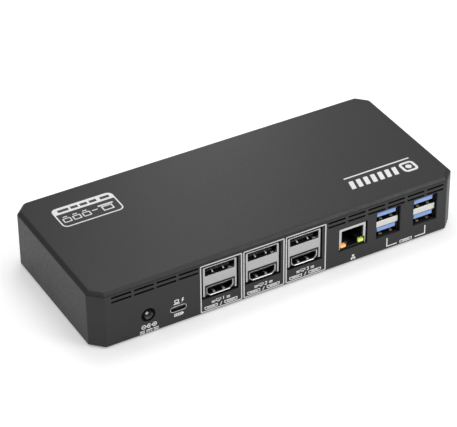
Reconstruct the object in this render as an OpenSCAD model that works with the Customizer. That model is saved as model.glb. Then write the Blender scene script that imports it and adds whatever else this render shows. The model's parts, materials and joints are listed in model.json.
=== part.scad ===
// Laptop docking station: a low box with chamfered corners that carries display, network,
// USB, power and audio sockets in its rear and front walls, all soldered to one circuit board.
//
// Millimetres. The origin is the centre of the footprint, on the desk under the feet.
// +Z is up and the front wall faces -Y. Heights inside the shell count from its lower edge.
// Each socket is drawn in its own frame: mouth on the plane y = 0, inside towards -Y.

/* [Enclosure] */
// Overall width of the enclosure
shell_w = 210; // [209:0.5:214]
// Overall depth of the enclosure
shell_d = 90; // [89.5:0.5:94]
// Height of the moulded shell, without its feet
shell_h = 32; // [31.6:0.2:36]
// Leg of the chamfer on each upright corner
corner_cut = 6.5; // [5:0.5:8]
// Leg of the chamfer around the top edge
top_cut = 1.9; // [1:0.1:2.2]
// Wall thickness of the top cover
wall = 2.2; // [2:0.1:2.4]
// Thickness of the base plate
base_t = 2.2; // [2:0.1:2.6]
// How far the feet lift the shell off the desk
foot_proud = 1.0; // [0.6:0.1:2]
// Radius of each rubber foot
foot_r = 5; // [4:0.5:5]

/* [Circuit board] */
// Height of the board's upper face above the shell's lower edge
board_top = 8.6; // [8.5:0.1:8.7]
// Thickness of the board
board_t = 1.6; // [1.2:0.2:1.6]

/* [Rear sockets] */
// Distance of the power socket from the centre line
power_x = 75.1; // [74:0.1:78]
// Height of the power socket's axis
power_z = 10.9; // [10.6:0.1:11.4]
// Distance of the host socket from the centre line
host_x = 58.5; // [57.5:0.1:60]
// Height of the host socket's centre
host_z = 8.4; // [8.2:0.1:9]
// Distance of the first display stack from the centre line
display_x = 35.1; // [34.5:0.1:35.5]
// Distance between neighbouring display stacks
display_pitch = 24.15; // [23.5:0.05:24.3]
// Distance of the network socket from the centre line, on the other side
network_x = 41.9; // [41.5:0.1:42.2]
// Distance of the first rear USB stack from the centre line
usb_stack_x = 63.1; // [61.5:0.1:63.2]
// Distance between the two rear USB stacks
usb_stack_pitch = 22.4; // [21:0.1:22.6]

/* [Front sockets] */
// Distance of the first front USB socket from the centre line
front_usb_x = 25.8; // [24:0.1:28]
// Distance between the two front USB sockets
front_usb_pitch = 29.5; // [20:0.5:30]
// Height of the front USB sockets' centres
front_usb_z = 9.45; // [9.3:0.05:9.8]
// Distance of the headset socket from the centre line
audio_x = 77.7; // [76:0.1:80]
// Height of the headset socket's axis
audio_z = 9.35; // [9.3:0.05:10]
// Distance of the status lamp from the centre line
lamp_x = 87.1; // [84:0.1:88]
// Height of the status lamp
lamp_z = 9.1; // [9:0.1:9.4]

/* [Vents] */
// Height of the lower row of rear vent slots
vent_low_z = 25.7; // [25.6:0.1:25.8]
// Distance between the two rows
vent_row_pitch = 2.6; // [2.2:0.1:2.6]
// Height of one slot
vent_slot_h = 1.05; // [0.8:0.05:1.1]

/* [Hidden] */

// Round features are true circles at this setting
$fn = 48;

// Planes and clearances
half_w = shell_w / 2;
half_d = shell_d / 2;
past = 1;               // how far a cutter runs past the face it cuts
cover_gap = 0.15;       // gap between the base plate and the walls around it
ceiling = shell_h - wall;
board_low = board_top - board_t;
sheet = 0.3;            // sheet metal of the socket cages

// Cut-outs in the cover: width, lower edge and upper edge of each rear window
display_window = [20.7, 8.2, 28];
network_window = [17.1, 8.4, 22.2];
usb_window = [14.4, 8.45, 24.6];
front_usb_window = [14.2, 6.3];
host_window_gap = 0.15;
// Vent slots in the rear wall: first edge, slots in a row, distance between slots, slot length
power_side_vents = [47.1, 4, 12.25, 10.8];
usb_side_vents = [-96.2, 6, 11.8, 10.2];

// Ribs under the ceiling
rib_t = 1.4;
rib_h = 1;
rib_front_limit = 20;   // ribs stop short of the rear sockets
rib_x = [-66, -22, 22, 66];
rib_y = [-22, 0];

// Base plate
rim_t = 1.2;
rim_h = 3;
rim_gap = 0.35;
standoff_r = 3;
intake_x = 58;          // middle of each group of intake slots
intake_slot = [26, 1.6];
intake_pitch = 4;
label_size = [70, 40, 0.2];
label_gap = 0.1;
label_deep = 0.25;

// Fixings
boss_at = [96, 35.5];   // corner screws, mirrored into the four corners
boss_r = 3.5;
boss_seat = 4;          // height where the cover bosses meet the base columns
column_r = 4.6;
cover_screw_r = 1.5;
cover_screw_top = 12;
screw_head_r = 2.75;
screw_ledge = 2.4;      // height of the ledge that the screw head bears on
foot_recess = 0.6;
foot_bevel = 0.4;
board_screw_r = 1.25;
board_screw_at = [[-60, -36], [8, -36], [92, -18], [-96, 6], [49, 27], [-28.3, 27]];
sink_pin_at = [[-20, -16], [42, 16]];
sink_pin_r = 1.2;
screw_gap = 0.03;       // radial gap between a screw's shank and its pilot hole

// Board outline and the parts soldered to it, as places on its upper face
board_half = [100, 42.3];
board_corner = 8;
notch_gap = 0.2;        // gap between a sunken socket and the board's notch
processor_at = [[-6, 0], [28, 0]];
processor_size = [23, 23, 1.4];
pad_size = [20, 20, 0.6];
sink_at = [11, 0];
sink_size = [66, 38, 2];
fin_size = [54, 1, 8];
fin_pitch = 3;
hub_at = [[-72, 4], [62, -14], [-84, -24]];
memory_at = [[-34, -12], [-34, 4]];
network_chip_at = [-50, 12];
power_chip_at = [[62, 22], [84, 4], [84, -8]];
transformer_at = [-37, 17];
inductor_at = [[72, 20], [72, 10], [72, 0], [-58, -14], [-2, -30]];
can_at = [[88, 24], [88, 14], [62, 6], [68, -24], [-48, -28], [-70, -26]];
can_r = 3.15;
can_h = 6.8;
ceramic_x = [-20, -12, -4, 4, 18, 26, 34, 42];
ceramic_y = [-24.5, 21];
crystal_at = [[-62, 4], [-50, 2], [50, -14], [-34, -24]];

// Display stack
display_w = 19;
display_h = 18.6;
display_depth = 18.5;
display_recess = 0.3;
display_back = -17.4;   // rear of the insulator
upper_half_w = 8.3;     // upper plug opening
upper_z = [13.2, 18];
upper_cut = 1.8;
upper_tongue_z = [14.1, 15.2];
lower_tongue_z = [3.45, 4.45];
lower_half_w = 7.1;     // lower plug opening
lower_z = [1.3, 6.1];
lower_cut = 2.1;
lower_wall = 0.4;
lower_depth = 11;

// Network socket
network_w = 15.8;
network_h = 13.4;
network_depth = 21;
network_recess = 0.7;
plug_half_w = 5.95;
plug_z = [4.4, 11.3];
latch_half_w = 3.1;
lamp_span = [3.4, 7.2];
lamp_rows = [0.9, 3.9];
spring_root = [-3.2, 11.75];   // y and z of the contact springs' bend
spring_angle = 26;
spring_length = 8.4;
spring_wire_r = 0.23;
spring_bead_r = 0.4;
spring_pitch = 1.02;

// USB ports
usb_open = [12.5, 5.12];
usb_tongue_w = 11.1;
usb_tongue_t = 2.3;
usb_tongue_up = 2.4;    // from the opening's floor to the tongue
usb_tongue_tip = -0.7;
usb_block = -9.5;       // where the tongue grows out of its block
usb_stack_w = 13.1;
usb_stack_h = 15.6;
usb_stack_depth = 17.5;
usb_stack_recess = 1.4;
usb_low_z = 0.2;
usb_high_z = 9.3;
front_usb_w = 13.7;
front_usb_h = 6;
front_usb_depth = 14;
front_floor = -usb_open[1] / 2;

// Host socket
host_half_w = 4.7;
host_r = 1.8;
host_wall = 0.45;
host_depth = 7.8;

// Round sockets
power_nose_r = 3.75;
power_bore_r = 3.1;
power_bore_depth = 11;
power_pin_r = 1.25;
power_pin_set_back = 2.2;
power_root_r = 2;       // thicker root of the pin, pressed into the body
power_half = [5, 4.3];
power_depth = 13;
power_pin_tail = 0.8;   // how far the pin's root stands out of the body's rear
power_spring_root = [-3.9, -10.2];
audio_nose_r = 2.6;
audio_bore_r = 1.8;
audio_wall_depth = 5;
audio_half = [3.6, 3.05];
audio_depth = 14;
audio_spring_root = [2.5, -12];
leaf_t = 0.25;
leaf_w = 1.4;
leaf_bead_r = 0.35;
nose_gap = 0.05;        // radial gap between a socket's nose and the cover
contact_t = 0.2;        // thickness of a flat contact

// Status lamp
lamp_pipe_r = 0.6;
lamp_pipe_gap = 0.02;
lamp_collar_r = 1.1;
lamp_pipe_end = 0.45;   // how far the pipe reaches behind the wall
lamp_size = [1.6, 1, 1];

// Colours
plastic = "#45464a";
black = "#17181a";
steel = "#c3c5c8";
gold = "#d9b45a";
usb_blue = "#5f86d8";

// ---------------------------------------------------------------- helpers

// A box given by its span along each axis
module span_box(xs, ys, zs) {
    translate([xs[0], ys[0], zs[0]])
        cube([xs[1] - xs[0], ys[1] - ys[0], zs[1] - zs[0]]);
}

// A box centred on x, for sockets and slots
module centred_box(w, ys, zs) {
    span_box([-w / 2, w / 2], ys, zs);
}

// A cylinder along Y between two planes
module y_rod(r, ys) {
    translate([0, ys[1], 0])
        rotate([90, 0, 0])
            cylinder(r = r, h = ys[1] - ys[0]);
}

// Drawn outline in X and Z, extruded along Y between two planes
module y_profile(ys) {
    translate([0, ys[1], 0])
        rotate([90, 0, 0])
            linear_extrude(ys[1] - ys[0])
                children();
}

module lifted() {
    translate([0, 0, foot_proud])
        children();
}

// Puts a socket in the rear wall, its mouth set back by recess
module at_rear(x, z, recess) {
    translate([x, half_d - recess, foot_proud + z])
        children();
}

// Puts a socket in the front wall, turned to face forwards
module at_front(x, z, recess) {
    translate([x, recess - half_d, foot_proud + z])
        rotate([0, 0, 180])
            children();
}

module at_corners() {
    for (sx = [-1, 1], sy = [-1, 1])
        translate([sx * boss_at[0], sy * boss_at[1], 0])
            children();
}

function octagon(w, d, cut) = [
    [w - cut, -d], [w, cut - d], [w, d - cut], [w - cut, d],
    [cut - w, d], [-w, d - cut], [-w, cut - d], [cut - w, -d]
];

// The corner chamfer's leg after the outline moves in by inset
function inset_cut(inset) = corner_cut - inset * (2 - sqrt(2));

// The enclosure's outline, moved in from the outer faces
module outline(inset) {
    polygon(octagon(half_w - inset, half_d - inset, inset_cut(inset)));
}

// The enclosure's body with the chamfer around its top edge
module shell_body(inset, top) {
    hull() {
        linear_extrude(top - top_cut)
            outline(inset);
        linear_extrude(top)
            outline(inset + top_cut);
    }
}

// ---------------------------------------------------------------- enclosure

module rear_window(x, window) {
    translate([x, half_d, 0])
        centred_box(window[0], [-wall - past, past], [window[1], window[2]]);
}

module rear_openings() {
    for (i = [0:2])
        rear_window(display_x - i * display_pitch, display_window);
    rear_window(-network_x, network_window);
    for (i = [0:1])
        rear_window(-usb_stack_x - i * usb_stack_pitch, usb_window);
    translate([host_x, half_d, host_z])
        host_outline(host_half_w + host_window_gap, host_r + host_window_gap, [-wall - past, past]);
    translate([power_x, half_d, power_z])
        y_rod(power_nose_r + nose_gap, [-wall - past, past]);
}

module front_openings() {
    for (i = [0:1])
        translate([front_usb_x + i * front_usb_pitch, -half_d, front_usb_z])
            centred_box(front_usb_window[0], [-past, wall + past],
                [-front_usb_window[1] / 2, front_usb_window[1] / 2]);
    translate([audio_x, -half_d, audio_z])
        y_rod(audio_nose_r + nose_gap, [-past, wall + past]);
    translate([-lamp_x, -half_d, lamp_z])
        y_rod(lamp_pipe_r + lamp_pipe_gap, [-past, wall + past]);
}

// One run of slots in both rows
module vent_run(run) {
    for (i = [0:run[1] - 1], row = [0:1])
        translate([run[0] + i * run[2], half_d, vent_low_z + row * vent_row_pitch])
            span_box([0, run[3]], [-wall - past, past], [-vent_slot_h / 2, vent_slot_h / 2]);
}

module cover_boss() {
    translate([0, 0, boss_seat])
        cylinder(r = boss_r, h = ceiling - boss_seat);
}

// Ribs under the ceiling keep the wide top from drumming
module ceiling_ribs() {
    for (x = rib_x)
        span_box([x - rib_t / 2, x + rib_t / 2], [wall - half_d, rib_front_limit],
            [ceiling - rib_h, ceiling]);
    for (y = rib_y)
        span_box([wall - half_w, half_w - wall], [y - rib_t / 2, y + rib_t / 2],
            [ceiling - rib_h, ceiling]);
}

module top_cover() {
    color(plastic)
        lifted()
            difference() {
                union() {
                    difference() {
                        shell_body(0, shell_h);
                        translate([0, 0, -past])
                            shell_body(wall, ceiling + past);
                    }
                    at_corners()
                        cover_boss();
                    ceiling_ribs();
                }
                rear_openings();
                front_openings();
                vent_run(power_side_vents);
                vent_run(usb_side_vents);
                at_corners()
                    translate([0, 0, boss_seat - past])
                        cylinder(r = cover_screw_r + screw_gap, h = cover_screw_top + 2 * past - boss_seat);
            }
}

module base_rim() {
    difference() {
        linear_extrude(base_t + rim_h)
            outline(wall + rim_gap);
        translate([0, 0, -past])
            linear_extrude(base_t + rim_h + 2 * past)
                outline(wall + rim_gap + rim_t);
    }
}

// Intake slots under the board, in two groups of seven
module intake_slots() {
    for (side = [-1, 1], i = [-3:3])
        translate([side * intake_x - intake_slot[0] / 2, i * intake_pitch - intake_slot[1] / 2, -past])
            cube([intake_slot[0], intake_slot[1], base_t + 2 * past]);
}

// The label's area seen from below, grown by a margin
module label_area(margin, zs) {
    span_box([-label_size[0] / 2 - margin, label_size[0] / 2 + margin],
        [-label_size[1] / 2 - margin, label_size[1] / 2 + margin], zs);
}

module base_cover() {
    color(plastic)
        lifted()
            difference() {
                union() {
                    linear_extrude(base_t)
                        outline(wall + cover_gap);
                    base_rim();
                    at_corners()
                        cylinder(r = column_r, h = boss_seat);
                    for (p = board_screw_at)
                        translate(p)
                            cylinder(r = standoff_r, h = board_low);
                }
                at_corners() {
                    translate([0, 0, -past])
                        cylinder(r = foot_r + nose_gap, h = foot_recess + past);
                    translate([0, 0, -past])
                        cylinder(r = screw_head_r + 0.15, h = screw_ledge + past);
                    translate([0, 0, -past])
                        cylinder(r = cover_screw_r + 0.1, h = boss_seat + 2 * past);
                }
                for (p = board_screw_at)
                    translate([p[0], p[1], base_t])
                        cylinder(r = board_screw_r + screw_gap, h = board_low);
                intake_slots();
                label_area(label_gap, [-past, label_deep]);
            }
}

module rubber_feet() {
    color(black)
        at_corners() {
            cylinder(r1 = foot_r - foot_bevel, r2 = foot_r, h = foot_bevel);
            translate([0, 0, foot_bevel])
                cylinder(r = foot_r, h = foot_proud + foot_recess - foot_bevel);
        }
}

// Cross-slot pan-head screw that points up, its head's bearing face on z = 0
module pan_screw(shank_r, shank_h, head_r, head_h) {
    cylinder(r = shank_r, h = shank_h);
    difference() {
        translate([0, 0, -head_h])
            cylinder(r1 = head_r * 0.8, r2 = head_r, h = head_h);
        for (turn = [0, 90])
            rotate([0, 0, turn])
                centred_box(head_r * 1.1, [-0.3, 0.3], [-head_h - past, -head_h * 0.4]);
    }
}

module cover_screws() {
    color("#8a8c90")
        lifted()
            at_corners()
                translate([0, 0, screw_ledge])
                    pan_screw(cover_screw_r, cover_screw_top - screw_ledge, screw_head_r, 1.6);
}

// A blank label in its shallow recess
module rating_label() {
    color("#b9bbbe")
        lifted()
            label_area(0, [label_deep - label_size[2], label_deep]);
}

// ---------------------------------------------------------------- circuit board

// A notch for a sunken socket, cut through the board from its front or rear edge
module notch(x, w, ys) {
    translate([x, 0, 0])
        centred_box(w + 2 * notch_gap, ys, [-past, board_t + past]);
}

module board_notches() {
    for (i = [0:1])
        notch(front_usb_x + i * front_usb_pitch, front_usb_w,
            [-half_d, front_usb_depth + 2 * notch_gap - half_d]);
    notch(audio_x, 2 * audio_half[0], [-half_d, audio_depth + 2 * notch_gap - half_d]);
    notch(host_x, 2 * host_half_w, [half_d - host_depth - 2 * notch_gap, half_d]);
    notch(power_x, 2 * power_half[0], [half_d - power_depth - power_pin_tail - notch_gap, half_d]);
}

// Places of the solder pegs under a cage, in the socket's frame
function peg_places(w, depth) = [
    for (sx = [-1, 1], y = [-6, 3 - depth]) [sx * (w / 2 - 0.15), y]
];

module peg_holes(x, recess, w, depth) {
    translate([x, half_d - recess, -past])
        for (p = peg_places(w, depth))
            translate(p)
                cylinder(r = 0.7, h = 10);
}

module pegs(w, depth) {
    for (p = peg_places(w, depth))
        translate(p)
            span_box([-0.15, 0.15], [-0.5, 0.5], [-board_t - 0.6, 0.5]);
}

module main_board() {
    color("#1f5a3a")
        translate([0, 0, foot_proud + board_low])
            difference() {
                linear_extrude(board_t)
                    polygon(octagon(board_half[0], board_half[1], board_corner));
                board_notches();
                at_corners()
                    translate([0, 0, -past])
                        cylinder(r = boss_r + 0.7, h = board_t + 2 * past);
                for (p = board_screw_at)
                    translate([p[0], p[1], -past])
                        cylinder(r = board_screw_r + 0.15, h = board_t + 2 * past);
                for (p = sink_pin_at)
                    translate([p[0], p[1], -past])
                        cylinder(r = sink_pin_r + nose_gap, h = board_t + 2 * past);
                for (i = [0:2])
                    peg_holes(display_x - i * display_pitch, display_recess, display_w, display_depth);
                for (i = [0:1])
                    peg_holes(-usb_stack_x - i * usb_stack_pitch, usb_stack_recess,
                        usb_stack_w, usb_stack_depth);
                peg_holes(-network_x, network_recess, network_w, network_depth);
            }
}

module board_screws() {
    color("#8a8c90")
        translate([0, 0, foot_proud + board_top])
            for (p = board_screw_at)
                translate(p)
                    mirror([0, 0, 1])
                        pan_screw(board_screw_r, 5.8, 2.3, 1.4);
}

// A flat part on the board's upper face, centred on a place
module on_board(at, size, up = 0) {
    translate([at[0] - size[0] / 2, at[1] - size[1] / 2, foot_proud + board_top + up])
        cube(size);
}

module display_processors() {
    color(black)
        for (p = processor_at)
            on_board(p, processor_size);
}

module thermal_pads() {
    color("#8fa7b8")
        for (p = processor_at)
            on_board(p, pad_size, processor_size[2]);
}

module heat_sink() {
    low = processor_size[2] + pad_size[2];
    color("#a9acb0")
        difference() {
            union() {
                on_board(sink_at, sink_size, low);
                for (i = [-5:5])
                    on_board([sink_at[0], sink_at[1] + i * fin_pitch], fin_size, low + sink_size[2]);
            }
            for (p = sink_pin_at)
                translate([p[0], p[1], foot_proud + board_top])
                    cylinder(r = sink_pin_r + nose_gap, h = fin_size[2]);
        }
}

// Push pins clamp the heat sink to the board
module heat_sink_pins() {
    top = processor_size[2] + pad_size[2] + sink_size[2];
    barb = 1;
    color("#3a3b3e")
        for (p = sink_pin_at)
            translate([p[0], p[1], foot_proud + board_top]) {
                translate([0, 0, -board_t - barb])
                    cylinder(r = sink_pin_r, h = board_t + barb + top);
                translate([0, 0, top])
                    cylinder(r = 2.2, h = 1.2);
                translate([0, 0, -board_t - barb])
                    cylinder(r1 = sink_pin_r, r2 = 1.6, h = barb);
            }
}

module usb_hub_chips() {
    color(black)
        for (p = hub_at)
            on_board(p, [9, 9, 0.9]);
}

module memory_chips() {
    color(black)
        for (p = memory_at)
            on_board(p, [9, 13, 1.1]);
}

module network_chip() {
    color(black)
        on_board(network_chip_at, [7, 7, 0.9]);
}

module power_chips() {
    color(black)
        for (p = power_chip_at)
            on_board(p, [6, 6, 0.9]);
}

// Isolation transformer between the network chip and its socket
module network_transformer() {
    color("#232427")
        on_board(transformer_at, [14, 9, 4]);
}

module power_inductors() {
    color("#4a4c50")
        for (p = inductor_at)
            on_board(p, [7.4, 7, 4]);
}

module round_capacitors() {
    color("#c9ccd0")
        for (p = can_at)
            translate([p[0], p[1], foot_proud + board_top]) {
                cylinder(r = can_r, h = can_h);
                translate([0, 0, can_h])
                    cylinder(r1 = can_r, r2 = can_r - 0.5, h = 0.5);
            }
}

module chip_capacitors() {
    color("#b08d62")
        for (x = ceramic_x, y = ceramic_y)
            on_board([x, y], [1.6, 0.8, 0.8]);
}

module crystals() {
    color(steel)
        for (p = crystal_at)
            on_board(p, [3.2, 2.5, 0.8]);
}

// Pressed tin lid over the first hub chip
module shield_can() {
    side = 15;
    tall = 2.4;
    color(steel)
        difference() {
            on_board(hub_at[0], [side, side, tall]);
            on_board(hub_at[0], [side - 2 * sheet, side - 2 * sheet, tall - sheet + past], -past);
        }
}

// ---------------------------------------------------------------- shared socket pieces

// A pair of ears that rest on the board beside a socket sunk into its edge
module ears(half, ys, z, reach = 2, thick = 0.4) {
    for (sx = [-1, 1])
        mirror([sx < 0 ? 1 : 0, 0, 0])
            span_box([half - 0.1, half + reach], ys, [z, z + thick]);
}

// A row of flat contacts that run back along z = run and drop to the board at y = back
module contact_row(count, pitch, width, run, tip, back) {
    for (i = [0:count - 1])
        translate([(i - (count - 1) / 2) * pitch, 0, 0]) {
            centred_box(width, [back - contact_t, tip], [run, run + contact_t]);
            centred_box(width, [back - contact_t, back], [0, run + contact_t]);
        }
}

// ---------------------------------------------------------------- display stacks

// Upper opening: one lower corner of its block is cut, which keys the plug
module upper_opening() {
    w = upper_half_w;
    z = upper_z;
    polygon([[upper_cut - w, z[0]], [w, z[0]], [w, z[1]], [-w, z[1]], [-w, z[0] + upper_cut]]);
}

// Lower opening: both lower corners cut. grow moves the outline outwards
module lower_opening(grow = 0) {
    w = lower_half_w + grow;
    z0 = lower_z[0] - grow;
    z1 = lower_z[1] + grow;
    cut = lower_cut + grow * (2 - sqrt(2));
    polygon([[-w, z0 + cut], [cut - w, z0], [w - cut, z0], [w, z0 + cut], [w, z1], [-w, z1]]);
}

module display_cage() {
    strip = 1.1;
    leg_low = 1.1;
    color(steel) {
        difference() {
            centred_box(display_w, [-display_depth, 0], [0, display_h]);
            centred_box(display_w - 2 * sheet, [sheet - display_depth, -sheet],
                [-past, display_h - sheet]);
            centred_box(2 * upper_half_w, [-sheet - past, past], upper_z);
            centred_box(display_w - 2 * strip, [-sheet - past, past], [-past, 7.6]);
            centred_box(display_w + past, [-2, past], [-past, leg_low]);
            centred_box(display_w - 2 * strip, [-display_depth - past, -display_depth + 2 * sheet],
                [-past, 4]);
        }
        pegs(display_w, display_depth);
    }
}

module display_insulator() {
    color(black) {
        difference() {
            centred_box(display_w - 2 * sheet - 0.2, [display_back, -0.45], [0.05, display_h - 0.4]);
            y_profile([-10.5, past])
                upper_opening();
            centred_box(2 * upper_half_w, [-10.5, past], [upper_z[1] - 0.1, display_h]);
            y_profile([-lower_depth - 0.05, past])
                lower_opening(lower_wall + 0.02);
            centred_box(display_w, [-2, past], [-past, 1.1]);
        }
        centred_box(13.2, [-11, -2.2], upper_tongue_z);
        centred_box(11.4, [-lower_depth - 0.5, -2.4], lower_tongue_z);
    }
}

// Sheet shell of the lower socket, with two sprung tabs in its floor
module display_lower_shell() {
    color(steel) {
        difference() {
            y_profile([-lower_depth, 0.1])
                lower_opening(lower_wall);
            y_profile([-lower_depth - past, past])
                lower_opening();
        }
        for (sx = [-1, 1])
            translate([sx * 2.6, 0, lower_z[0]])
                rotate([90, 0, 90])
                    linear_extrude(1.2, center = true)
                        polygon([[-1, -0.1], [-3.6, -0.1], [-2.6, 0.55], [-1.9, 0.55]]);
    }
}

module display_contacts() {
    color(gold) {
        contact_row(10, 1.2, 0.45, upper_tongue_z[1] - 0.1, -2.6, display_back - 0.4);
        contact_row(10, 1.0, 0.4, lower_tongue_z[0] - 0.1, -2.8, display_back);
    }
}

module display_stack(i) {
    at_rear(display_x - i * display_pitch, board_top, display_recess)
        children();
}

// ---------------------------------------------------------------- network socket

module network_shield() {
    frame_half_w = 6.5;
    color(steel)
        at_rear(-network_x, board_top, network_recess) {
            difference() {
                centred_box(network_w, [-network_depth, 0], [0, network_h]);
                centred_box(network_w - 2 * sheet, [sheet - network_depth, -sheet],
                    [-past, network_h - sheet]);
                centred_box(2 * frame_half_w, [-sheet - past, past], [-past, 11.4]);
                centred_box(2 * lamp_span[1] + 0.4, [-sheet - past, past], [-past, lamp_rows[1] + 0.2]);
            }
            pegs(network_w, network_depth);
        }
}

module lamp_block(side, gap, front) {
    xs = side > 0 ? lamp_span : [-lamp_span[1], -lamp_span[0]];
    span_box([xs[0] - gap, xs[1] + gap], [-4 - gap, front], [lamp_rows[0] - gap, lamp_rows[1] + gap]);
}

module network_body() {
    color(black)
        at_rear(-network_x, board_top, network_recess)
            difference() {
                centred_box(network_w - 2 * sheet - 0.1, [0.4 - network_depth, -0.35],
                    [0.02, network_h - 0.35]);
                centred_box(2 * plug_half_w, [-14, past], plug_z);
                centred_box(2 * latch_half_w, [-14, past], [1, plug_z[0] + past]);
                centred_box(8.6, [-13, -2.7], [plug_z[0] + past, 12.5]);
                for (side = [-1, 1])
                    lamp_block(side, 0.03, past);
            }
}

// Eight sprung wires that slope down into the plug's space
module network_contact_springs() {
    color(gold)
        at_rear(-network_x, board_top, network_recess)
            for (i = [0:7])
                translate([(i - 3.5) * spring_pitch, spring_root[0], spring_root[1]]) {
                    rotate([90 + spring_angle, 0, 0])
                        cylinder(r = spring_wire_r, h = spring_length, $fn = 24);
                    rotate([0, 90, 0])
                        cylinder(r = spring_bead_r, h = 0.6, center = true, $fn = 24);
                }
}

module network_lamp_amber() {
    color("#ffb45a")
        at_rear(-network_x, board_top, network_recess)
            lamp_block(1, 0, -0.15);
}

module network_lamp_green() {
    color("#c8e63c")
        at_rear(-network_x, board_top, network_recess)
            lamp_block(-1, 0, -0.15);
}

// ---------------------------------------------------------------- USB sockets

// The tongue of one port whose opening's floor is at z
module usb_tongue(z) {
    difference() {
        centred_box(usb_tongue_w, [usb_block, usb_tongue_tip],
            [z + usb_tongue_up, z + usb_tongue_up + usb_tongue_t]);
        for (i = [-2:2])
            translate([i * 2.1, 0, 0])
                centred_box(1.1, [usb_block, usb_tongue_tip - 1],
                    [z + usb_tongue_up - past, z + usb_tongue_up + 0.15]);
    }
}

module usb_contacts(z, back) {
    contact_row(4, 2.2, 0.8, z + usb_tongue_up - 0.15, usb_tongue_tip - 1.4, back);
    contact_row(5, 2.1, 0.6, z + usb_tongue_up + 0.1, usb_tongue_tip - 0.4, back - 0.3);
}

module usb_stack_cage() {
    color(steel) {
        difference() {
            centred_box(usb_stack_w, [-usb_stack_depth, 0], [0, usb_stack_h]);
            centred_box(usb_stack_w - 2 * sheet, [sheet - usb_stack_depth, -sheet],
                [-past, usb_stack_h - sheet]);
            for (z = [usb_low_z, usb_high_z])
                centred_box(usb_open[0], [-past, past], [z, z + usb_open[1]]);
            centred_box(usb_stack_w - 2, [-usb_stack_depth - past, -usb_stack_depth + past],
                [-past, 3]);
        }
        pegs(usb_stack_w, usb_stack_depth);
    }
}

module usb_stack_insulator() {
    half = usb_stack_w - 2 * sheet - 0.1;
    color(usb_blue) {
        centred_box(half, [-15.8, usb_block], [0.05, usb_stack_h - 0.4]);
        centred_box(half, [usb_block, -0.4], [usb_low_z + usb_open[1] + 0.05, usb_high_z - 0.05]);
        centred_box(half, [usb_block, -0.4], [usb_high_z + usb_open[1] + 0.05, usb_stack_h - 0.4]);
        usb_tongue(usb_low_z);
        usb_tongue(usb_high_z);
    }
}

module usb_stack_contacts() {
    color(gold) {
        usb_contacts(usb_low_z, -15.9);
        usb_contacts(usb_high_z, -16.4);
    }
}

module usb_stack(i) {
    at_rear(-usb_stack_x - i * usb_stack_pitch, board_top, usb_stack_recess)
        children();
}

module front_usb_cage() {
    color(steel) {
        difference() {
            centred_box(front_usb_w, [-front_usb_depth, 0], [-front_usb_h / 2, front_usb_h / 2]);
            centred_box(front_usb_w - 2 * sheet, [sheet - front_usb_depth, -sheet],
                [sheet - front_usb_h / 2, front_usb_h / 2 - sheet]);
            centred_box(usb_open[0] + 0.1, [-past, past], [front_floor, front_floor + usb_open[1]]);
            centred_box(usb_open[0] - 2, [-front_usb_depth - past, -front_usb_depth + past], [-4, 0.5]);
        }
        ears(front_usb_w / 2, [-11, -6], board_top - front_usb_z);
    }
}

module front_usb_insulator() {
    color(usb_blue) {
        centred_box(front_usb_w - 2 * sheet - 0.1, [-12.4, usb_block], [-2.6, 2.6]);
        usb_tongue(front_floor);
    }
}

module front_usb_contacts() {
    foot = board_top - front_usb_z;
    color(gold)
        for (i = [0:3])
            translate([(i - 1.5) * 2.2, 0, 0])
                centred_box(0.8, [-front_usb_depth - 1.5, usb_tongue_tip - 1.4],
                    [front_floor + usb_tongue_up - 0.15, front_floor + usb_tongue_up + 0.05]);
    color(gold)
        for (i = [0:3])
            translate([(i - 1.5) * 2.2, 0, 0])
                centred_box(0.8, [-front_usb_depth - 1.5, -front_usb_depth - 1.3],
                    [foot, front_floor + usb_tongue_up + 0.05]);
}

module front_usb(i) {
    at_front(front_usb_x + i * front_usb_pitch, front_usb_z, 0.15)
        children();
}

// ---------------------------------------------------------------- host socket

// A slot with round ends in X and Z, extruded along Y
module host_outline(half_length, r, ys) {
    y_profile(ys) {
        square([2 * (half_length - r), 2 * r], center = true);
        for (sx = [-1, 1])
            translate([sx * (half_length - r), 0])
                circle(r = r);
    }
}

module host_port_shell() {
    color(steel)
        at_rear(host_x, host_z, 0.1) {
            difference() {
                host_outline(host_half_w, host_r, [-host_depth, 0]);
                host_outline(host_half_w - host_wall, host_r - host_wall, [-6.4, past]);
            }
            ears(host_half_w - 0.1, [-6.6, -4], board_top - host_z);
        }
}

module host_port_tongue() {
    color(black)
        at_rear(host_x, host_z, 0.1)
            centred_box(6.7, [-6.4, -0.9], [-0.35, 0.35]);
}

// ---------------------------------------------------------------- power socket

// A sprung leaf in the X-Y plane: root bead at the origin, reaching forwards along +Y
module leaf_spring(length, lean) {
    bump = length * 0.72;
    color(gold) {
        cylinder(r = leaf_bead_r, h = leaf_w, center = true, $fn = 24);
        linear_extrude(leaf_w, center = true)
            polygon([
                [-leaf_t / 2, 0], [leaf_t / 2, 0],
                [leaf_t / 2 - lean, bump], [leaf_t / 2 - lean * 0.35, length],
                [-leaf_t / 2 - lean * 0.35, length], [-leaf_t - lean, bump]
            ]);
    }
}

module power_socket_body() {
    color(black)
        at_rear(power_x, power_z, 0)
            difference() {
                union() {
                    y_rod(power_nose_r, [-wall - 0.3, 0]);
                    centred_box(2 * power_half[0], [-power_depth, -wall - 0.2],
                        [-power_half[1], power_half[1]]);
                    ears(power_half[0], [-11, -6], board_top - power_z);
                }
                y_rod(power_bore_r, [-power_bore_depth, past]);
                y_rod(power_root_r - 0.02, [-power_depth - past, 0]);
                span_box([-4.5, 0], [-power_bore_depth, -3], [-0.9, 0.9]);
            }
}

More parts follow.
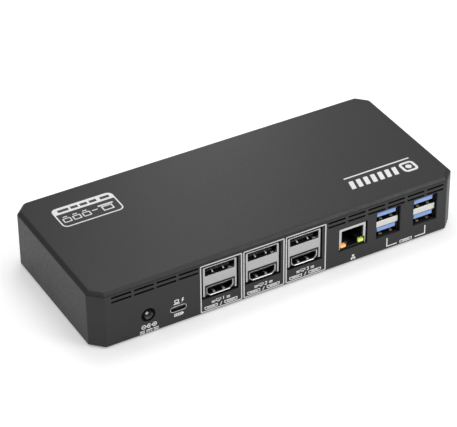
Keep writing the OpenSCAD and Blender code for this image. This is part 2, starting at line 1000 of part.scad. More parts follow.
module power_socket_pin() {
    color(steel)
        at_rear(power_x, power_z, 0) {
            y_rod(power_root_r, [-power_depth - power_pin_tail, -power_bore_depth]);
            y_rod(power_pin_r, [-power_bore_depth, -power_pin_set_back]);
            translate([0, -power_pin_set_back, 0])
                rotate([-90, 0, 0])
                    cylinder(r1 = power_pin_r, r2 = power_pin_r / 2, h = 0.8);
        }
}

module power_socket_spring() {
    at_rear(power_x, power_z, 0)
        translate([power_spring_root[0], power_spring_root[1], 0])
            mirror([1, 0, 0])
                leaf_spring(6.2, 1.4);
}

// ---------------------------------------------------------------- headset socket

module audio_socket_body() {
    color(black)
        at_front(audio_x, audio_z, 0)
            difference() {
                union() {
                    y_rod(audio_nose_r, [-wall - 0.3, 0]);
                    centred_box(2 * audio_half[0], [-audio_depth, -wall - 0.2],
                        [-audio_half[1], audio_half[1]]);
                    ears(audio_half[0], [-11, -6], board_top - audio_z, 1.2);
                }
                y_rod(audio_bore_r, [-audio_wall_depth - past, past]);
                y_rod(audio_bore_r + 0.2, [-13, -audio_wall_depth]);
                span_box([0, 3.2], [-12.8, -audio_wall_depth - 0.6], [-0.9, 0.9]);
            }
}

module audio_socket_spring() {
    at_front(audio_x, audio_z, 0)
        translate([audio_spring_root[0], audio_spring_root[1], 0])
            leaf_spring(5.6, 0.95);
}

// ---------------------------------------------------------------- status lamp

module status_lamp() {
    color("#e6e6f5")
        on_board([-lamp_x, 4 - half_d], lamp_size);
}

module lamp_light_pipe() {
    color("#c7beff")
        translate([-lamp_x, -half_d, foot_proud + lamp_z]) {
            y_rod(lamp_pipe_r, [0, wall + lamp_pipe_end]);
            y_rod(lamp_collar_r, [wall + nose_gap, wall + lamp_pipe_end]);
        }
}

// ---------------------------------------------------------------- nodes

top_cover();
base_cover();
rubber_feet();
cover_screws();
rating_label();
main_board();
board_screws();
heat_sink();
heat_sink_pins();
thermal_pads();
display_processors();
usb_hub_chips();
memory_chips();
network_chip();
power_chips();
network_transformer();
power_inductors();
round_capacitors();
chip_capacitors();
crystals();
shield_can();
display_stack(0) display_cage();  // display_1_cage
display_stack(0) display_insulator();  // display_1_insulator
display_stack(0) display_lower_shell();  // display_1_lower_shell
display_stack(0) display_contacts();  // display_1_contacts
display_stack(1) display_cage();  // display_2_cage
display_stack(1) display_insulator();  // display_2_insulator
display_stack(1) display_lower_shell();  // display_2_lower_shell
display_stack(1) display_contacts();  // display_2_contacts
display_stack(2) display_cage();  // display_3_cage
display_stack(2) display_insulator();  // display_3_insulator
display_stack(2) display_lower_shell();  // display_3_lower_shell
display_stack(2) display_contacts();  // display_3_contacts
network_shield();
network_body();
network_contact_springs();
network_lamp_amber();
network_lamp_green();
usb_stack(0) usb_stack_cage();  // usb_stack_1_cage
usb_stack(0) usb_stack_insulator();  // usb_stack_1_insulator
usb_stack(0) usb_stack_contacts();  // usb_stack_1_contacts
usb_stack(1) usb_stack_cage();  // usb_stack_2_cage
usb_stack(1) usb_stack_insulator();  // usb_stack_2_insulator
usb_stack(1) usb_stack_contacts();  // usb_stack_2_contacts
front_usb(0) front_usb_cage();  // front_usb_1_cage
front_usb(0) front_usb_insulator();  // front_usb_1_insulator
front_usb(0) front_usb_contacts();  // front_usb_1_contacts
front_usb(1) front_usb_cage();  // front_usb_2_cage
front_usb(1) front_usb_insulator();  // front_usb_2_insulator
front_usb(1) front_usb_contacts();  // front_usb_2_contacts
host_port_shell();
host_port_tongue();
power_socket_body();
power_socket_pin();
power_socket_spring();
audio_socket_body();
audio_socket_spring();
status_lamp();
lamp_light_pipe();
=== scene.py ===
"""Looks of a laptop docking station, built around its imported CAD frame.

Shapes are drawn in millimetres, in a frame that places them and turns them into metres: the
table frame, whose z = 0 is the table; the shell frame, which starts at the shell's lower edge; a
frame for each socket, with its mouth on the plane y = 0 and its inside towards -Y; and a flat
frame for each printed wall, with u to the right as the wall is read, v upwards and z out of it.
"""

import json
import math

import bmesh
import bpy
from mathutils import Matrix, Vector


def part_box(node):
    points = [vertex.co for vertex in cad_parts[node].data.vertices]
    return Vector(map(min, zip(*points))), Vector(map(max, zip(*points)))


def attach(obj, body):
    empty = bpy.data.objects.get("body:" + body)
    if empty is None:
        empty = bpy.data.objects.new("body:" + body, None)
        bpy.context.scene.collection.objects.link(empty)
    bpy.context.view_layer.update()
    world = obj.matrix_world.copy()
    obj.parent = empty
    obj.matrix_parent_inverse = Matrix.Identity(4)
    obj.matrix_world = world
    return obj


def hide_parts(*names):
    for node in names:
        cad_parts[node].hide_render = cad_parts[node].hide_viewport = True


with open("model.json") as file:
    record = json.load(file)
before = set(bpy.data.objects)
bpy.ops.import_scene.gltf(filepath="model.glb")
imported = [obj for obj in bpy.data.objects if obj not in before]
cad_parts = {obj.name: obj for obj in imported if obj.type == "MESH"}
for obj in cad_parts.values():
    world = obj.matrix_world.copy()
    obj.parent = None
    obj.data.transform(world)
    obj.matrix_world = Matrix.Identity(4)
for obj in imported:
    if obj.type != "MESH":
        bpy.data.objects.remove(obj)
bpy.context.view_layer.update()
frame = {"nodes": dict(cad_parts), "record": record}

MM = 0.001
SAME_POINT = 1e-5
MAIN_BODY = "dock"


# ---------------- sizes, from the frame in mm

def box_mm(node):
    lo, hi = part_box(node)
    return lo / MM, hi / MM


LOW, HIGH = box_mm("top_cover")
HALF_W = HIGH.x
HALF_D = HIGH.y
SHELL_H = HIGH.z - LOW.z
SHELL_FRAME = Matrix.Translation((0, 0, LOW.z * MM)) @ Matrix.Scale(MM, 4)
TABLE_FRAME = Matrix.Scale(MM, 4)
WALL = 2.2
CEILING = SHELL_H - WALL
CORNER_CUT = 6.5
TOP_CUT = 1.9

DISPLAY_W, DISPLAY_H, DISPLAY_DEPTH = 19, 18.6, 18.5
NETWORK_W, NETWORK_H, NETWORK_DEPTH = 15.8, 13.4, 21
USB_STACK_W, USB_STACK_H, USB_STACK_DEPTH = 13.1, 15.6, 17.5
USB_PORT_W, USB_PORT_H = 12.5, 5.12
USB_FLOORS = (0.2, 9.3)
FRONT_USB_W, FRONT_USB_H, FRONT_USB_DEPTH = 13.7, 6, 14
HOST_HALF_W, HOST_R, HOST_DEPTH = 4.7, 1.8, 7.8
POWER_TOP, AUDIO_TOP, LAMP_TOP = 4.3, 3.05, 1.1   # how far the round bodies reach over their axes
SHEET = 0.3
CORNERS = [(x, y) for x in (-96, 96) for y in (-35.5, 35.5)]   # of the bosses, screws and feet

# Windows in the cover: half width, lowest and highest z in the socket's frame.
DISPLAY_WINDOW = (10.35, -0.4, 19.4)
NETWORK_WINDOW = (8.55, -0.2, 13.6)
USB_STACK_WINDOW = (7.2, -0.15, 16)
FRONT_USB_WINDOW = (7.1, -3.15, 3.15)
POWER_HOLE_R, AUDIO_HOLE_R, LAMP_HOLE_R = 3.8, 2.65, 0.62
HOST_GAP = 0.15


def socket_frame(node, height, facing=1):
    """The frame of a socket whose cage stands height above the frame's origin."""
    lo, hi = box_mm(node)
    mouth = hi.y if facing > 0 else lo.y
    origin = Vector(((lo.x + hi.x) / 2, mouth, hi.z - height)) * MM
    turn = Matrix.Rotation(0 if facing > 0 else math.pi, 4, "Z")
    return Matrix.Translation(origin) @ turn @ Matrix.Scale(MM, 4)


def shell_place(place):
    """Where a socket frame's origin is in the shell frame, as x, y, z in mm."""
    return SHELL_FRAME.inverted() @ place.translation


DISPLAYS = [socket_frame(f"display_{n}_cage", DISPLAY_H) for n in (1, 2, 3)]
USB_STACKS = [socket_frame(f"usb_stack_{n}_cage", USB_STACK_H) for n in (1, 2)]
FRONT_USBS = [socket_frame(f"front_usb_{n}_cage", FRONT_USB_H / 2, -1) for n in (1, 2)]
NETWORK = socket_frame("network_shield", NETWORK_H)
HOST = socket_frame("host_port_shell", HOST_R)
POWER = socket_frame("power_socket_body", POWER_TOP)
AUDIO = socket_frame("audio_socket_body", AUDIO_TOP, -1)
LAMP = socket_frame("lamp_light_pipe", LAMP_TOP, -1)


# ---------------- outlines

def arc_corner(before, corner, after, radius, steps):
    """Points of the arc that rounds one corner of an outline."""
    corner = Vector(corner)
    back = (Vector(before) - corner).normalized()
    on = (Vector(after) - corner).normalized()
    half = back.angle(on) / 2
    middle = corner + (back + on).normalized() * (radius / math.sin(half))
    start = corner + back * (radius / math.tan(half)) - middle
    end = corner + on * (radius / math.tan(half)) - middle
    first = math.atan2(start.y, start.x)
    sweep = (math.atan2(end.y, end.x) - first + math.pi) % math.tau - math.pi
    turns = [first + sweep * i / steps for i in range(steps + 1)]
    return [middle + Vector((math.cos(a), math.sin(a))) * radius for a in turns]


def rounded(points, radius, steps=4):
    following = points[1:] + points[:1]
    return [
        point
        for i, corner in enumerate(points)
        for point in arc_corner(points[i - 1], corner, following[i], radius, steps)
    ]


def grown(points, by):
    """An anticlockwise outline moved outwards by a distance."""
    result = []
    following = points[1:] + points[:1]
    for i, point in enumerate(points):
        point = Vector(point)
        a = (point - Vector(points[i - 1])).normalized()
        b = (Vector(following[i]) - point).normalized()
        side_a, side_b = Vector((a.y, -a.x)), Vector((b.y, -b.x))
        result.append(point + (side_a + side_b) * (by / (1 + side_a.dot(side_b))))
    return result


def polygon(corners, radius, steps=4):
    """A shape is a function that gives its outline after growing by a distance."""
    return lambda grow: rounded(grown(corners, grow), max(radius + grow, 0), steps)


def rect(x0, x1, z0, z1, radius, steps=4):
    return polygon([(x0, z0), (x1, z0), (x1, z1), (x0, z1)], radius, steps)


def disc(x, z, radius, count):
    turns = [math.tau * i / count for i in range(count)]
    return lambda grow: [
        Vector((x + (radius + grow) * math.cos(a), z + (radius + grow) * math.sin(a)))
        for a in turns
    ]


def arc(x, z, radius, start, end, steps=12):
    """Points along an arc, with its angles in degrees."""
    turns = [math.radians(start + (end - start) * i / steps) for i in range(steps + 1)]
    return [(x + radius * math.cos(a), z + radius * math.sin(a)) for a in turns]


def stroke(path, width):
    """The outline of a line of some width drawn along an open path."""
    points = [Vector(p) for p in path]
    left, right = [], []
    for i, point in enumerate(points):
        before = (point - points[i - 1]).normalized() if i else None
        after = (points[i + 1] - point).normalized() if i + 1 < len(points) else None
        a = before or after
        b = after or before
        side_a, side_b = Vector((a.y, -a.x)), Vector((b.y, -b.x))
        shift = (side_a + side_b) * (width / 2 / (1 + side_a.dot(side_b)))
        right.append(point + shift)
        left.append(point - shift)
    return right + left[::-1]


# ---------------- solids

def loft(bm, loops, closed=False):
    """A closed solid through loops of equal length, capped unless the last loop joins the first."""
    rings = [[bm.verts.new(point) for point in loop] for loop in loops]
    pairs = list(zip(rings, rings[1:]))
    if closed:
        pairs.append((rings[-1], rings[0]))
        faces = []
    else:
        faces = [bm.faces.new(rings[0][::-1]), bm.faces.new(rings[-1])]
    for a, b in pairs:
        for i in range(len(a)):
            faces.append(bm.faces.new((a[i - 1], a[i], b[i], b[i - 1])))
    for face in faces:
        face.normal_update()
    if sum(face.calc_area() * face.normal.dot(face.verts[0].co) for face in faces) < 0:
        for face in faces:
            face.normal_flip()
    bmesh.ops.remove_doubles(bm, verts=[v for ring in rings for v in ring], dist=SAME_POINT)


def along_y(shape, stations):
    """Loops of a shape in X and Z, one for each station (y, growth)."""
    return [[Vector((x, y, z)) for x, z in shape(grow)] for y, grow in stations]


def along_z(shape, stations):
    return [[Vector((x, y, z)) for x, y in shape(grow)] for z, grow in stations]


def quarter(steps):
    """The angles of a quarter turn."""
    return [math.pi / 2 * i / steps for i in range(steps + 1)]


def turn_in(at, r, facing=1, grow=-1, steps=3):
    """Stations that round an edge onto the plane at. With grow 1 they flare a cutter."""
    return [
        (at - facing * r * (1 - math.sin(a)), grow * r * (1 - math.cos(a)))
        for a in quarter(steps)
    ]


def lip(r, wall):
    """Stations that round the inner edge of a mouth, from the face into the hole."""
    return [(-r * (1 - math.cos(a)), r - wall - r * math.sin(a)) for a in quarter(3)]


def slab(bm, outline, low, high):
    """A flat solid between two copies of an outline, whose points low and high place."""
    loft(bm, [[low(p) for p in outline], [high(p) for p in outline]])


def strip(bm, x0, x1, path, thick):
    """A bent strip of sheet: its path in Y and Z, its width along X."""
    slab(
        bm,
        stroke(path, thick),
        lambda p: Vector((x0, p[0], p[1])),
        lambda p: Vector((x1, p[0], p[1])),
    )


def block(bm, xs, ys, zs, r):
    """A box with all its edges rounded."""
    shape = rect(xs[0], xs[1], zs[0], zs[1], r, 2)
    front = turn_in(ys[1], r, steps=2)
    back = turn_in(ys[0], r, -1, steps=2)[::-1]
    loft(bm, along_y(shape, back + front))


def as_object(bm, name):
    mesh = bpy.data.meshes.new(name)
    bm.to_mesh(mesh)
    bm.free()
    thing = bpy.data.objects.new(name, mesh)
    bpy.context.scene.collection.objects.link(thing)
    return thing


def combine(solid, tool, operation="DIFFERENCE"):
    """Blender's exact boolean of two solids. Both are used up, and the result is a new one."""
    target, other = as_object(solid, "target"), as_object(tool, "tool")
    step = target.modifiers.new("combine", "BOOLEAN")
    step.operation = operation
    step.solver = "EXACT"
    step.object = other
    result = bmesh.new()
    evaluated = target.evaluated_get(bpy.context.evaluated_depsgraph_get())
    result.from_mesh(evaluated.to_mesh())
    for thing in (target, other):
        bpy.data.objects.remove(thing)
    return result


# ---------------- materials

def node(tree, kind, props=None, inputs=None):
    """A shader node. An input is a plain value, or another node's output to link."""
    made = tree.nodes.new("ShaderNode" + kind)
    for key, value in (props or {}).items():
        setattr(made, key, value)
    for key, value in (inputs or {}).items():
        if isinstance(value, bpy.types.NodeSocket):
            tree.links.new(value, made.inputs[key])
        else:
            made.inputs[key].default_value = value
    return made


def noise(tree, where, size_mm, detail=2.0):
    """Noise from 0 to 1 whose blotches measure about size_mm."""
    settings = {"Vector": where, "Scale": 1 / (size_mm * MM), "Detail": detail}
    return node(tree, "TexNoise", inputs=settings).outputs["Fac"]


def spread(tree, value, low, high):
    """Maps the middle of a noise onto a range."""
    settings = {"Value": value, "From Min": 0.3, "From Max": 0.7, "To Min": low, "To Max": high}
    return node(tree, "MapRange", inputs=settings).outputs["Result"]


def mixed(tree, amount, a, b):
    made = node(tree, "Mix", {"data_type": "RGBA"}, {0: amount, 6: a, 7: b})
    return made.outputs[2]


def shade(colour, factor):
    return tuple(min(1.0, c * factor) for c in colour[:3]) + (1.0,)


def edge_mask(tree, radius_mm, where):
    """1 on edges that lighten, partly from wear and partly as a painted highlight; 0 on flat faces;
    broken up by a fine noise.
    """
    flat = node(tree, "NewGeometry").outputs["Normal"]
    soft = node(tree, "Bevel", {"samples": 4}, {"Radius": radius_mm * MM}).outputs["Normal"]
    dot = node(tree, "VectorMath", {"operation": "DOT_PRODUCT"}, {0: flat, 1: soft})
    limits = {"Value": dot.outputs["Value"], "From Min": 0.995, "From Max": 0.85}
    edge = node(tree, "MapRange", inputs=limits).outputs["Result"]
    broken = spread(tree, noise(tree, where, 0.9), 0.35, 1.0)
    return node(tree, "Math", {"operation": "MULTIPLY"}, {0: edge, 1: broken}).outputs["Value"]


def painted_shade_mask(tree, reach_mm):
    """The mask of the painted shade: 1 on open faces, 0 in corners and holes narrower than the
    reach.
    """
    reach = {"Distance": reach_mm * MM}
    seen = node(tree, "AmbientOcclusion", {"samples": 4}, reach).outputs["AO"]
    limits = {"Value": seen, "From Min": 0.3, "From Max": 0.75}
    return node(tree, "MapRange", inputs=limits).outputs["Result"]


def surface(name, colour, roughness, metallic=0.0, mottle=0.08, blotch_mm=9.0, grain_mm=0.3,
            grain_depth=0.01, roughness_spread=0.06, wear_and_sheen=None, wear_and_sheen_mm=0.3, stretch=(1, 1, 1),
            specular=0.5, coat=0.0, emission=0.0, detail=None, recess_mm=None):
    """A procedural finish: mottled colour, uneven roughness, fine grain, and edges lightened by wear
    and by a painted highlight.

    The wear and sheen factor is how much edges lighten, partly for wear and partly as a painted
    highlight. stretch draws the grain out along an axis.
    detail may change the colour further: it takes the tree, the coordinates and the colour.
    recess_mm is the reach of the painted shade that darkens holes, slots and corners.
    """
    look = bpy.data.materials.new(name)
    look.use_nodes = True
    tree = look.node_tree
    tree.nodes.clear()
    where = node(tree, "TexCoord").outputs["Object"]
    drawn = node(tree, "Mapping", {}, {"Vector": where, "Scale": stretch}).outputs["Vector"]
    blotches = noise(tree, where, blotch_mm, 3.0)
    tone = mixed(tree, blotches, shade(colour, 1 - mottle), shade(colour, 1 + mottle))
    if detail:
        tone = detail(tree, where, tone)
    # Edges lighten: partly wear, partly a painted highlight.
    if wear_and_sheen:
        tone = mixed(tree, edge_mask(tree, wear_and_sheen_mm, where), tone, shade(colour, wear_and_sheen))
    # Painted shade: holes, slots and corners darken towards 6% of the colour.
    if recess_mm:
        tone = mixed(tree, painted_shade_mask(tree, recess_mm), shade(colour, 0.06), tone)
    grain = noise(tree, drawn, grain_mm, 3.0)
    bump = node(tree, "Bump", {}, {"Distance": grain_depth * MM, "Height": grain})
    uneven = noise(tree, drawn, grain_mm * 6)
    rough = spread(tree, uneven, roughness - roughness_spread, roughness + roughness_spread)
    settings = {
        "Base Color": tone, "Metallic": metallic, "Roughness": rough,
        "Specular IOR Level": specular, "Normal": bump.outputs["Normal"],
        "Coat Weight": coat, "Coat Roughness": 0.15,
        "Emission Color": shade(colour, 1.0), "Emission Strength": emission,
    }
    shader = node(tree, "BsdfPrincipled", {}, settings)
    node(tree, "OutputMaterial", {}, {"Surface": shader.outputs["BSDF"]})
    return look


def moulded_charcoal(name="moulded_charcoal", colour=(0.028, 0.028, 0.029)):
    """Spark-textured moulding, semi-matt, with edges lightened by rubbing and by a painted
    highlight, and painted shade in slots and gaps.
    """
    return surface(
        name, colour, 0.46, mottle=0.03, blotch_mm=30, grain_mm=0.22, grain_depth=0.012,
        wear_and_sheen=1.5, wear_and_sheen_mm=0.5, specular=0.3, recess_mm=2.5,
    )


def nickel_sheet(name="nickel_sheet", colour=(0.58, 0.58, 0.57), wear_and_sheen=1.6, recess_mm=4):
    """Drawn sheet with fine marks along its width, darker smudges, edges lightened by wear and by a
    painted highlight, and painted shade deep in holes.
    """
    return surface(
        name, colour, 0.34, metallic=0.85, mottle=0.07, blotch_mm=3, grain_mm=0.25,
        grain_depth=0.006, stretch=(0.06, 1, 1), wear_and_sheen=wear_and_sheen, wear_and_sheen_mm=0.12, recess_mm=recess_mm,
    )


def brushed_tin():
    """Dull tinned sheet that scatters light."""
    return surface(
        "brushed_tin", (0.32, 0.32, 0.31), 0.6, metallic=0.15, mottle=0.08, blotch_mm=2,
        grain_mm=0.2, grain_depth=0.006, wear_and_sheen=1.2, wear_and_sheen_mm=0.12,
    )


def gloss_black():
    return surface(
        "gloss_black", (0.012, 0.012, 0.013), 0.3, mottle=0.2, blotch_mm=4, grain_mm=0.2,
        grain_depth=0.004, wear_and_sheen=2.5, wear_and_sheen_mm=0.2,
    )


def painted_shade_black():
    """Painted shade: a near-black that hardly shines, put on the unlit depths of sockets."""
    return surface(
        "painted_shade_black", (0.006, 0.006, 0.006), 0.8, mottle=0.2, blotch_mm=3, grain_mm=0.2,
        grain_depth=0.004, specular=0.05,
    )


def port_blue():
    return surface(
        "port_blue", (0.3, 0.48, 0.98), 0.38, mottle=0.08, blotch_mm=2, grain_mm=0.15,
        grain_depth=0.003, wear_and_sheen=1.5, wear_and_sheen_mm=0.15,
    )


def gold_plate():
    return surface(
        "gold_plate", (0.9, 0.62, 0.25), 0.25, metallic=1.0, mottle=0.1, blotch_mm=0.8,
        grain_mm=0.1, grain_depth=0.002, stretch=(1, 0.1, 1), wear_and_sheen=1.1, wear_and_sheen_mm=0.08,
    )


def white_ink(name="white_ink", colour=(0.74, 0.74, 0.75)):
    """Pad print: opaque white, a little uneven where the ink is thin."""
    return surface(
        name, colour, 0.6, mottle=0.06, blotch_mm=1.5, grain_mm=0.15,
        grain_depth=0.004, specular=0.3,
    )


def dark_ink():
    return surface(
        "dark_ink", (0.05, 0.05, 0.053), 0.6, mottle=0.1, blotch_mm=1.5, grain_mm=0.15,
        grain_depth=0.004, specular=0.3,
    )


def lamp_lens(name, colour, strength):
    """A clear lens that glows evenly."""
    return surface(
        name, colour, 0.2, mottle=0.15, blotch_mm=1.2, grain_mm=0.2, grain_depth=0.003,
        coat=0.5, emission=strength,
    )


def black_rubber():
    return surface(
        "black_rubber", (0.02, 0.02, 0.021), 0.85, mottle=0.2, blotch_mm=2, grain_mm=0.12,
        grain_depth=0.015, wear_and_sheen=2.0, specular=0.25,
    )


def zinc_steel():
    return surface(
        "zinc_steel", (0.3, 0.3, 0.32), 0.38, metallic=1.0, mottle=0.15, blotch_mm=1.2,
        grain_mm=0.12, grain_depth=0.004, wear_and_sheen=1.6, wear_and_sheen_mm=0.15,
    )


def silver_film():
    return surface(
        "silver_film", (0.5, 0.5, 0.52), 0.42, metallic=0.4, mottle=0.04, blotch_mm=6,
        grain_mm=0.1, grain_depth=0.002, stretch=(0.05, 1, 1),
    )


def solder_mask():
    """Green circuit board with darker tracks between the parts."""
    def tracks(tree, where, tone):
        cells = node(tree, "TexVoronoi", {"feature": "DISTANCE_TO_EDGE", "distance": "MANHATTAN"},
                     {"Vector": where, "Scale": 1 / (3.2 * MM)})
        limits = {"Value": cells.outputs["Distance"], "From Min": 0.05, "From Max": 0.09}
        gap = node(tree, "MapRange", inputs=limits).outputs["Result"]
        return mixed(tree, gap, (0.03, 0.2, 0.09, 1), tone)
    return surface(
        "solder_mask", (0.012, 0.09, 0.035), 0.32, mottle=0.1, blotch_mm=14, grain_mm=0.2,
        grain_depth=0.004, coat=0.4, wear_and_sheen=2.0, wear_and_sheen_mm=0.2, detail=tracks,
    )


def satin_aluminium(name="satin_aluminium", colour=(0.6, 0.61, 0.63)):
    return surface(
        name, colour, 0.36, metallic=1.0, mottle=0.06, blotch_mm=5, grain_mm=0.2,
        grain_depth=0.005, stretch=(0.05, 1, 1), wear_and_sheen=1.25, wear_and_sheen_mm=0.2,
    )


def soft_pad():
    return surface(
        "soft_pad", (0.35, 0.42, 0.5), 0.8, mottle=0.12, blotch_mm=1.0, grain_mm=0.25,
        grain_depth=0.02,
    )


def chip_epoxy():
    return surface(
        "chip_epoxy", (0.02, 0.02, 0.022), 0.55, mottle=0.15, blotch_mm=1.5, grain_mm=0.1,
        grain_depth=0.006, wear_and_sheen=2.2, wear_and_sheen_mm=0.15,
    )


def ferrite_block():
    return surface(
        "ferrite_block", (0.07, 0.07, 0.075), 0.7, mottle=0.2, blotch_mm=0.8, grain_mm=0.15,
        grain_depth=0.02, wear_and_sheen=1.6, wear_and_sheen_mm=0.2,
    )


def fired_ceramic():
    return surface(
        "fired_ceramic", (0.42, 0.3, 0.18), 0.45, mottle=0.12, blotch_mm=0.4, grain_mm=0.08,
        grain_depth=0.003, wear_and_sheen=1.4, wear_and_sheen_mm=0.08,
    )


def tin_plate():
    return surface(
        "tin_plate", (0.6, 0.6, 0.6), 0.3, metallic=1.0, mottle=0.1, blotch_mm=2.5,
        grain_mm=0.15, grain_depth=0.004, wear_and_sheen=1.25, wear_and_sheen_mm=0.15,
    )


LOOKS = {
    "cover_plastic": moulded_charcoal(),
    "base_plastic": moulded_charcoal("base_charcoal", (0.027, 0.027, 0.028)),
    "foot_rubber": black_rubber(),
    "screw_steel": zinc_steel(),
    "label_film": silver_film(),
    "printed_ink": white_ink(),
    "circuit_board": solder_mask(),
    "heat_sink_aluminium": satin_aluminium(),
    "black_plastic": gloss_black(),
    "thermal_pad": soft_pad(),
    "chip_plastic": chip_epoxy(),
    "ferrite": ferrite_block(),
    "capacitor_can": satin_aluminium("capacitor_can", (0.7, 0.71, 0.73)),
    "capacitor_ceramic": fired_ceramic(),
    "tinned_steel": tin_plate(),
    "nickel_steel": nickel_sheet(),
    "usb_blue_plastic": port_blue(),
    "gold_contact": gold_plate(),
    "lamp_amber": lamp_lens("lamp_amber", (1.0, 0.42, 0.12), 0.75),
    "lamp_green": lamp_lens("lamp_green", (0.5, 0.68, 0.08), 0.7),
    "lamp_white": lamp_lens("lamp_white", (0.55, 0.5, 1.0), 1.6),
}
# Painted shade: a near-black for the unlit depths of sockets. The power and audio bodies are black
# plastic, and take it so that their bores read as shadow.
PAINTED_SHADE_BLACK = painted_shade_black()
DARK_BODIES = ("power_socket_body", "audio_socket_body")


# ---------------- pieces

def smooth_shading(bm, angle):
    """Smooth faces with sharp edges where two faces meet at more than an angle in degrees."""
    for face in bm.faces:
        face.smooth = True
    for edge in bm.edges:
        if len(edge.link_faces) == 2:
            edge.smooth = edge.calc_face_angle(0) < math.radians(angle)


def even_normals(thing):
    step = thing.modifiers.new("even_normals", "WEIGHTED_NORMAL")
    step.keep_sharp = True
    step.weight = 80


def add_piece(name, bm, place, slot, stands_for=(), look=None, angle=38, inside=None):
    """Turns a drawn solid into a piece that rides on the dock and takes a slot's finish.

    Edges sharper than angle stay sharp. Faces with material index 1 take the look inside, which is
    used for painted shade.
    """
    bmesh.ops.transform(bm, matrix=place, verts=bm.verts)
    smooth_shading(bm, angle)
    thing = as_object(bm, name)
    thing.data.materials.append(look or LOOKS[slot])
    if inside:
        thing.data.materials.append(inside)
    even_normals(thing)
    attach(thing, MAIN_BODY)
    if stands_for:
        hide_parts(*stands_for)
    return thing


# ---------------- top cover

BOSS_R, SCREW_R = 3.5, 1.53
RIB = 0.7    # half a rib's thickness
SINK = 0.5   # how far bosses and ribs reach into the ceiling
SKIN = 0.5   # what the ribs leave of the side walls


def octagon(inset):
    """The cover's plan, moved inwards."""
    w, d = HALF_W - inset, HALF_D - inset
    cut = CORNER_CUT - inset * (2 - math.sqrt(2))
    return [
        (w, cut - d), (w, d - cut), (w - cut, d), (cut - w, d),
        (-w, d - cut), (-w, cut - d), (cut - w, -d), (w - cut, -d),
    ]


def cover_profile():
    """The wall's section as (inset, z), from the middle of the ceiling round to the top."""
    edge, blend = 0.3, 1.5
    foot, side, top = (0, 0), (0, SHELL_H - TOP_CUT), (TOP_CUT, SHELL_H)
    far_in = (9, SHELL_H)
    return [
        (WALL + TOP_CUT + 2, CEILING), (WALL + TOP_CUT, CEILING), (WALL, CEILING - TOP_CUT),
        (WALL, edge), (WALL - edge, 0),
        *arc_corner((WALL, 0), foot, (0, SHELL_H), edge, 3),
        *arc_corner(foot, side, top, blend, 4), *arc_corner(side, top, far_in, blend, 4),
        (TOP_CUT + 4, SHELL_H),
    ]


def cover_body():
    """The hollow moulding before its openings are cut."""
    bm = bmesh.new()
    corner_r = 1.6
    loops = []
    for inset, z in cover_profile():
        outline = rounded(octagon(inset), corner_r, 5)
        loops.append([Vector((x, y, z)) for x, y in outline])
    loft(bm, loops)
    return bm


def wall_cutter(bm, shape, facing, flare):
    """Cuts a shape through the rear (1) or front (-1) wall, with a softly rounded mouth."""
    face = facing * HALF_D
    inside = (face - facing * (WALL + 1), 0)
    outside = (face + facing, flare)
    loft(bm, along_y(shape, [inside, *turn_in(face, flare, facing, 1), outside]))


def window(place, size, radius=0.4):
    """A window around a socket, in the shell frame."""
    at = shell_place(place)
    half_w, low, high = size
    return rect(at.x - half_w, at.x + half_w, at.z + low, at.z + high, radius)


def round_hole(place, radius, count):
    at = shell_place(place)
    return disc(at.x, at.z, radius, count)


def vent_shapes():
    """Two rows of slots, in one run beside the power socket and one over the USB stacks."""
    runs = [(47.1, 4, 12.25, 10.8), (-96.2, 6, 11.8, 10.2)]
    low_row, row_pitch, slot_h = 25.7, 2.6, 1.05
    return [
        rect(first + i * pitch, first + i * pitch + length, z - slot_h / 2, z + slot_h / 2, 0.3, 3)
        for first, count, pitch, length in runs
        for i in range(count)
        for z in (low_row, low_row + row_pitch)
    ]


def cover_cutters():
    bm = bmesh.new()
    for place in DISPLAYS:
        wall_cutter(bm, window(place, DISPLAY_WINDOW), 1, 0.25)
    wall_cutter(bm, window(NETWORK, NETWORK_WINDOW), 1, 0.25)
    for place in USB_STACKS:
        wall_cutter(bm, window(place, USB_STACK_WINDOW), 1, 0.25)
    at, r = shell_place(HOST), HOST_R + HOST_GAP
    left, right = at.x - HOST_HALF_W - HOST_GAP, at.x + HOST_HALF_W + HOST_GAP
    wall_cutter(bm, rect(left, right, at.z - r, at.z + r, r, 10), 1, 0.2)
    wall_cutter(bm, round_hole(POWER, POWER_HOLE_R, 56), 1, 0.3)
    for shape in vent_shapes():
        wall_cutter(bm, shape, 1, 0.15)
    for place in FRONT_USBS:
        wall_cutter(bm, window(place, FRONT_USB_WINDOW, 0.7), -1, 0.2)
    wall_cutter(bm, round_hole(AUDIO, AUDIO_HOLE_R, 48), -1, 0.3)
    wall_cutter(bm, round_hole(LAMP, LAMP_HOLE_R, 24), -1, 0.1)
    return bm


def cover_posts():
    """Screw bosses in the corners, and ribs that run from the front wall under the ceiling."""
    bm = bmesh.new()
    for x, y in CORNERS:
        loft(bm, along_z(disc(x, y, BOSS_R, 32), [(4, 0), (CEILING + SINK, 0)]))
    for x in (-66, -22, 22, 66):
        block(bm, (x - RIB, x + RIB), (SKIN - HALF_D, 20), (CEILING - 1, CEILING + SINK), 0.15)
    return bm


def cover_cross_ribs():
    bm = bmesh.new()
    xs = (SKIN - HALF_W, HALF_W - SKIN)
    for y in (-22, 0):
        block(bm, xs, (y - RIB, y + RIB), (CEILING - 1, CEILING + SINK), 0.15)
    return bm


def screw_holes():
    bm = bmesh.new()
    for x, y in CORNERS:
        loft(bm, along_z(disc(x, y, SCREW_R, 24), [(3, 0), (13, 0)]))
    return bm


def build_cover():
    body = combine(cover_body(), cover_posts(), "UNION")
    body = combine(body, cover_cross_ribs(), "UNION")
    body = combine(body, screw_holes())
    body = combine(body, cover_cutters())
    add_piece("cover_shell", body, SHELL_FRAME, "cover_plastic", ["top_cover"], angle=30)


# ---------------- sheet metal

